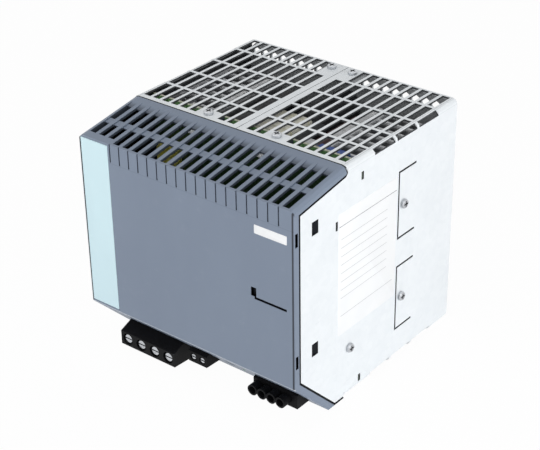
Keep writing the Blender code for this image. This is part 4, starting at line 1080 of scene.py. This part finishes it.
@dataclass
class Hood:
    """The plastic front with its accent strip, its blank name plate and its two sheet clips."""

    plate_across: Band = (49.3, 70.5)
    plate_height: Band = (117.6, 122.7)
    plate_thick: float = 0.3
    plate_corner: float = 0.4
    plate_edge: float = 0.15
    clip_across: float = 24.0
    clip_width: float = 6.0
    clip_thick: float = 0.7
    clip_foot: Point = (36.9, 138.2)
    clip_bend: tuple[Point, ...] = ((36.9, 139.4), (37.2, 140.1), (37.8, 140.5), (38.6, 140.65))
    clip_end: Point = (54.0, 140.65)

    def build(self) -> None:
        """Dresses the hood and the strip and adds the plate and the clips."""
        grey = HoodPlastic("hood grey", colour=(127, 139, 157), rubbed=(146, 157, 172))
        grey.on("front_hood")
        cyan = MouldedPlastic("accent film", colour=(214, 240, 247), rubbed=(226, 244, 248), roughness=0.36)
        cyan.on("accent_strip")
        self.plate()
        self.clip("hood_clip_left", -self.clip_across)
        self.clip("hood_clip_right", self.clip_across)

    def clip(self, name: str, across: float) -> None:
        """Adds the sheet clip under one of the hood's top tabs, which takes the tab's screw.

        Args:
            name: The clip's name.
            across: Its middle along x, in millimetres.
        """
        path = (self.clip_foot, *self.clip_bend, self.clip_end)
        rows = strip_rows(path, self.clip_width, self.clip_thick)
        move = Matrix.Translation(spot(across, 0.0, 0.0))
        Piece(name, ZincSheet("bright clips"), Slot.SHEET).settle((rows, move))

    def plate(self) -> None:
        """Adds the blank name plate to the front face."""
        left, right = self.plate_across
        low, high = self.plate_height
        place = spot((left + right) / 2, 0.0, (low + high) / 2)
        move = Matrix.Translation(place) @ Matrix.Rotation(math.pi / 2, 4, "X")
        rows = plate_rows(right - left, high - low, self.plate_thick, self.plate_corner, self.plate_edge)
        Piece("blank_name_plate", PrintedFilm("name plate film"), Slot.ACCENT).settle((rows, move))


@dataclass
class Terminals:
    """The three terminal blocks with their cages and screws, the trimmer and the status light."""

    poles: tuple[tuple[str, int], ...] = (("output", 4), ("signal", 2), ("input", 4))

    def build(self) -> None:
        """Dresses the terminals."""
        black = MouldedPlastic(
            "terminal black", colour=(13, 13, 15), rubbed=(36, 37, 40), roughness=0.5, specular=0.1
        )
        black.on("output_block", "signal_block", "input_block")
        for kind, count in self.poles:
            PlatedSteel("plated cages", roughness=0.34).on(*numbered(f"{kind}_cage", count))
            PlatedSteel("bright terminal screws", roughness=0.2).on(*numbered(f"{kind}_screw", count))
        blue = MouldedPlastic("trimmer body blue", colour=(40, 70, 130), rubbed=(80, 108, 160), grain=0.2)
        blue.on("trimmer_body")
        white = MouldedPlastic(
            "trimmer rotor white", colour=(226, 226, 220), rubbed=(240, 240, 236), grain=0.2
        )
        white.on("trimmer_rotor")
        ClearPipe("clear light pipe").on("status_light_pipe")


@dataclass
class RailClip:
    """The rail bracket on the back, its sprung slider and its screws."""

    def build(self) -> None:
        """Dresses the clip."""
        plated = ZincSheet("plated bracket", pale=(222, 226, 230), dull=(202, 207, 212), metallic=0.5)
        plated.on("rail_bracket")
        PlatedSteel("plated screws").on("bracket_screw_left", "bracket_screw_right")
        slider = MouldedPlastic("slider black", colour=(33, 34, 37), rubbed=(70, 72, 76), roughness=0.48)
        slider.on("rail_slider")


@dataclass
class Electronics:
    """What shows through the grille: boards, heat sinks, transformer, capacitors and small parts."""

    can_radius: float = 4.0
    can_length: float = 12.5
    can_height: float = 135.0
    can_places: tuple[float, ...] = (-64.0, -54.5)
    screen_middle: Point = (34.9, 136.5)
    screen_side: float = 5.8
    screen_length: float = 10.2
    screen_foot: float = 1.2
    screen_corner: float = 1.0
    plug_middle: Point = (-44.6, 137.6)
    plug_width: float = 4.6
    plug_height: float = 6.4
    plug_length: float = 5.0
    plug_wall: float = 0.7
    plug_hole: float = 3.0
    plug_corner: float = 0.5
    bar_middles: tuple[tuple[str, float], ...] = (("left", -40.6), ("right", 37.3))
    bar_width: float = 4.8
    bar_thick: float = 2.4
    bar_corner: float = 1.0
    bar_edge: float = 0.4
    bar_front_inset: float = 9.0
    bar_back_inset: float = 1.0
    bar_heads: int = 3
    head_radius: float = 1.6
    head_height: float = 0.9

    def build(self) -> None:
        """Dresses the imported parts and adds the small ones."""
        for board in ("main_board", "connection_board"):
            low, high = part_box(board)
            Laminate(f"green laminate of {board}", top=high.z / MM, front=low.y).on(board)
        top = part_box("left_heat_sink")[1].z / MM
        sinks = DrawnMetal(
            "extruded aluminium", bright=(240, 242, 244), dull=(216, 219, 223), metallic=0.2, top=top
        )
        sinks.on("left_heat_sink", "right_heat_sink")
        bars = DrawnMetal("tinned bars", bright=(214, 210, 200), dull=(180, 174, 160), along=(1, 0.03, 1))
        bars.on("plus_bus_bar", "minus_bus_bar")
        Ferrite("dry ferrite").on("transformer_core", "output_choke")
        WoundTape("wound tape").on("transformer_winding")
        self.sleeve("bulk_capacitor", "black sleeve", (24, 24, 27), (120, 122, 126))
        self.sleeve("output_capacitor", "brown sleeve", (70, 36, 34), (140, 118, 110))
        blue = DippedCoat("blue resin", colour=(40, 84, 180), thin=(66, 118, 210))
        blue.on("filter_capacitor_blue")
        yellow = DippedCoat("yellow resin", colour=(255, 246, 112), thin=(255, 250, 168))
        yellow.on("filter_capacitor_yellow")
        for index, across in enumerate(self.can_places):
            self.small_can(f"small_capacitor_{index + 1}", across)
        self.screen()
        self.plug()
        for side, across in self.bar_middles:
            self.clamp_bar(side, across)

    def on_board(self, across: float, height: float) -> Matrix:
        """Stands a piece on the back of the main board.

        Args:
            across: The piece's middle along x, in millimetres.
            height: Its middle along z.

        Returns:
            The move that lays its own z out to the back.
        """
        place = spot(across, 0.0, height)
        place.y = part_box("main_board")[1].y
        return Matrix.Translation(place) @ Axis.Y.turn()

    def small_can(self, name: str, across: float) -> None:
        """Adds a small capacitor with a crimped can.

        Args:
            name: The piece's name.
            across: Its middle along x, in millimetres.
        """
        radius = self.can_radius
        length = self.can_length
        crimp = ((radius, 1.6), (radius * 0.9, 2.1), (radius, 2.6))
        end = ((radius, length - 0.5), (radius * 0.93, length), (radius * 0.86, length - 0.25))
        profile = ((radius * 0.94, 0.0), (radius, 0.5), *crimp, *end)
        middle = (across, self.can_height)
        sleeve = CanSleeve(f"sleeve of {name}", sleeve=(26, 27, 32), stripe=(128, 132, 138), middle=middle)
        Piece(name, sleeve, Slot.CAN).settle((lathe_rows(profile), self.on_board(*middle)))

    def screen(self) -> None:
        """Adds the screening can of a filter, with its soldered foot."""
        side = self.screen_side
        foot = side + self.screen_foot
        roof = side - 0.8
        end = self.screen_length
        levels = ((foot, foot, 0.0), (foot, foot, 0.4), (side, side, 0.7))
        levels += ((side, side, end - 0.5), (roof, roof, end))
        rows = stacked_rows(levels, self.screen_corner)
        tin = DrawnMetal("tinned screen", bright=(232, 233, 234), dull=(190, 193, 197), along=(1, 0.1, 1))
        Piece("filter_screen", tin, Slot.SINK).settle((rows, self.on_board(*self.screen_middle)))

    def plug(self) -> None:
        """Adds the white plug on the board, open at its end."""
        wide = self.plug_width
        tall = self.plug_height
        end = self.plug_length
        inner = (wide - 2 * self.plug_wall, tall - 2 * self.plug_wall)
        levels = ((wide, tall, 0.0), (wide, tall, end - 0.2), (wide - 0.4, tall - 0.4, end))
        levels += ((*inner, end), (*inner, end - self.plug_hole))
        rows = stacked_rows(levels, self.plug_corner)
        nylon = MouldedPlastic("white nylon", colour=(236, 237, 232), rubbed=(246, 246, 243), grain=0.2)
        Piece("board_plug", nylon, Slot.ROTOR).settle((rows, self.on_board(*self.plug_middle)))

    def clamp_bar(self, side: str, across: float) -> None:
        """Adds the bar that clamps the transistors to a heat sink, with its rivet heads.

        Args:
            side: The heat sink's side.
            across: The bar's middle along x, in millimetres.
        """
        low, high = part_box(f"{side}_heat_sink")
        front = low.y / MM + self.bar_front_inset
        length = high.y / MM - self.bar_back_inset - front
        foot = Matrix.Translation(Vector((across, front + length / 2, high.z / MM)) * MM)
        bar = plate_rows(self.bar_width, length, self.bar_thick, self.bar_corner, self.bar_edge)
        parts = [(bar, foot)]
        radius = self.head_radius
        top = self.head_height
        dome = ((radius, 0.0), (radius, 0.3 * top), (0.75 * radius, 0.85 * top), (0.3 * radius, top))
        for index in range(self.bar_heads):
            along = length * ((index + 0.5) / self.bar_heads - 0.5)
            seat = Matrix.Translation(Vector((0.0, along, self.bar_thick)) * MM)
            parts.append((lathe_rows(dome), foot @ seat))
        bright = DrawnMetal(f"{side} clamp bar", bright=(246, 247, 248), dull=(230, 232, 235), metallic=0.1)
        Piece(f"{side}_clamp_bar", bright, Slot.SINK).settle(*parts)

    @staticmethod
    def sleeve(node: str, name: str, colour: Rgb, stripe: Rgb) -> None:
        """Dresses a packed can that lies along y.

        Args:
            node: The can.
            name: The finish's name.
            colour: The sleeve's colour.
            stripe: The stripe's colour.
        """
        low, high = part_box(node)
        middle = ((low.x + high.x) / 2 / MM, (low.z + high.z) / 2 / MM)
        CanSleeve(name, sleeve=colour, stripe=stripe, middle=middle).on(node)


@dataclass(frozen=True)
class Lamp:
    """One soft square lamp: its place and side in metres, and its power in watts."""

    name: str
    place: Three
    side: float
    power: float

    def hang(self, aim: Three) -> None:
        """Adds the lamp.

        Args:
            aim: The point that it shines on, in metres.
        """
        data = bpy.data.lights.new(self.name, "AREA")
        data.shape = "SQUARE"
        data.size = self.side
        data.energy = self.power
        lamp = linked(self.name, data)
        lamp.location = self.place
        towards = Vector(aim) - Vector(self.place)
        lamp.rotation_euler = towards.to_track_quat("-Z", "Y").to_euler()


@dataclass
class Studio:
    """The camera, the lamps, the white surroundings and the pale floor."""

    azimuth: float = 39.0566
    elevation: float = 29.3183
    roll: float = -0.9149
    distance: float = 0.85269
    aim: Three = (0.0, -0.00585, 0.07253)
    lens: float = 98.42
    sensor: float = 36.0
    clip: Band = (0.05, 20.0)
    ambient: float = 0.36
    floor_half: float = 3.0
    floor_drop: float = 0.05
    floor_white: float = 0.97
    floor_paint: Rgb = (246, 247, 248)
    lamp_aim: Three = (0.0, 0.0, 0.07)
    lamps: tuple[Lamp, ...] = (
        Lamp("side lamp", (1.15, -0.1, 0.3), 0.8, 6.7),
        Lamp("front lamp", (-0.55, -1.0, 0.32), 0.8, 4.2),
        Lamp("top lamp", (-0.15, -0.4, 1.25), 0.4, 1.3),
        Lamp("near lamp", (0.62, -0.84, 0.68), 0.25, 2.5),
    )

    def build(self) -> None:
        """Sets up the whole studio."""
        self.camera()
        self.surroundings()
        self.floor()
        for lamp in self.lamps:
            lamp.hang(self.lamp_aim)

    def camera(self) -> None:
        """Places the camera where the photograph was taken from."""
        turn = math.radians(self.azimuth)
        tilt = math.radians(self.elevation)
        back = Vector((math.sin(turn) * math.cos(tilt), -math.cos(turn) * math.cos(tilt), math.sin(tilt)))
        level = Vector((math.cos(turn), math.sin(turn), 0.0))
        right = Matrix.Rotation(math.radians(self.roll), 3, back) @ level
        up = back.cross(right)
        data = bpy.data.cameras.new("photo camera")
        data.sensor_fit = "HORIZONTAL"
        data.sensor_width = self.sensor
        data.lens = self.lens
        data.clip_start, data.clip_end = self.clip
        camera = linked("photo camera", data)
        facing = Matrix((right, up, back)).transposed().to_4x4()
        camera.matrix_world = Matrix.Translation(Vector(self.aim) + back * self.distance) @ facing
        bpy.context.scene.camera = camera

    @staticmethod
    def seen_white(tree: Tree) -> Field:
        """Finds the rays that see the white surroundings.

        Args:
            tree: The nodes of the world or the floor.

        Returns:
            1 for rays from the camera, mirrors and glass.
        """
        names = ("Is Camera Ray", "Is Glossy Ray", "Is Transmission Ray")
        rays = [tree.node("ShaderNodeLightPath", output=name) for name in names]
        return rays[0].most(rays[1]).most(rays[2])

    def surroundings(self) -> None:
        """Makes the world white to look at, with a plain level of light."""
        world = bpy.data.worlds.new("white surroundings")
        bpy.context.scene.world = world
        tree = Tree(world)
        white = self.seen_white(tree)
        strength = white * (1 - self.ambient) + self.ambient
        sockets = {"Color": srgb(*WHITE), "Strength": strength}
        shader = tree.node("ShaderNodeBackground", None, sockets)
        tree.node("ShaderNodeOutputWorld", None, {"Surface": shader})

    def floor(self) -> None:
        """Lays the pale floor under the lowest point of the part."""
        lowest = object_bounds()[0].z
        built = bmesh.new()
        bmesh.ops.create_grid(built, x_segments=2, y_segments=2, size=self.floor_half)
        bmesh.ops.translate(built, verts=built.verts, vec=(0, 0, lowest - self.floor_drop * MM))
        mesh = bpy.data.meshes.new("studio_floor")
        built.to_mesh(mesh)
        built.free()
        ground = linked("studio_floor", mesh)
        material = bpy.data.materials.new("pale floor")
        tree = Tree(material)
        paint = tree.node("ShaderNodeBsdfDiffuse", None, {"Color": srgb(*self.floor_paint)})
        glow = tree.node("ShaderNodeEmission", None, {"Color": srgb(*WHITE), "Strength": 1.0})
        share = self.seen_white(tree) * self.floor_white
        mixed = tree.node("ShaderNodeMixShader", None, {0: share, 1: paint, 2: glow})
        tree.node("ShaderNodeOutputMaterial", None, {"Surface": mixed})
        mesh.materials.append(material)
        ground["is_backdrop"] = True


def main() -> None:
    logging.basicConfig(level=logging.INFO, format="%(message)s")
    bpy.context.scene.view_settings.view_transform = "Standard"
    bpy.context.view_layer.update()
    builders: tuple[Callable[[], None], ...] = (
        Housing().build,
        Hood().build,
        Terminals().build,
        RailClip().build,
        Electronics().build,
        Studio().build,
    )
    for build in builders:
        build()


if __name__ == "__main__":
    main()
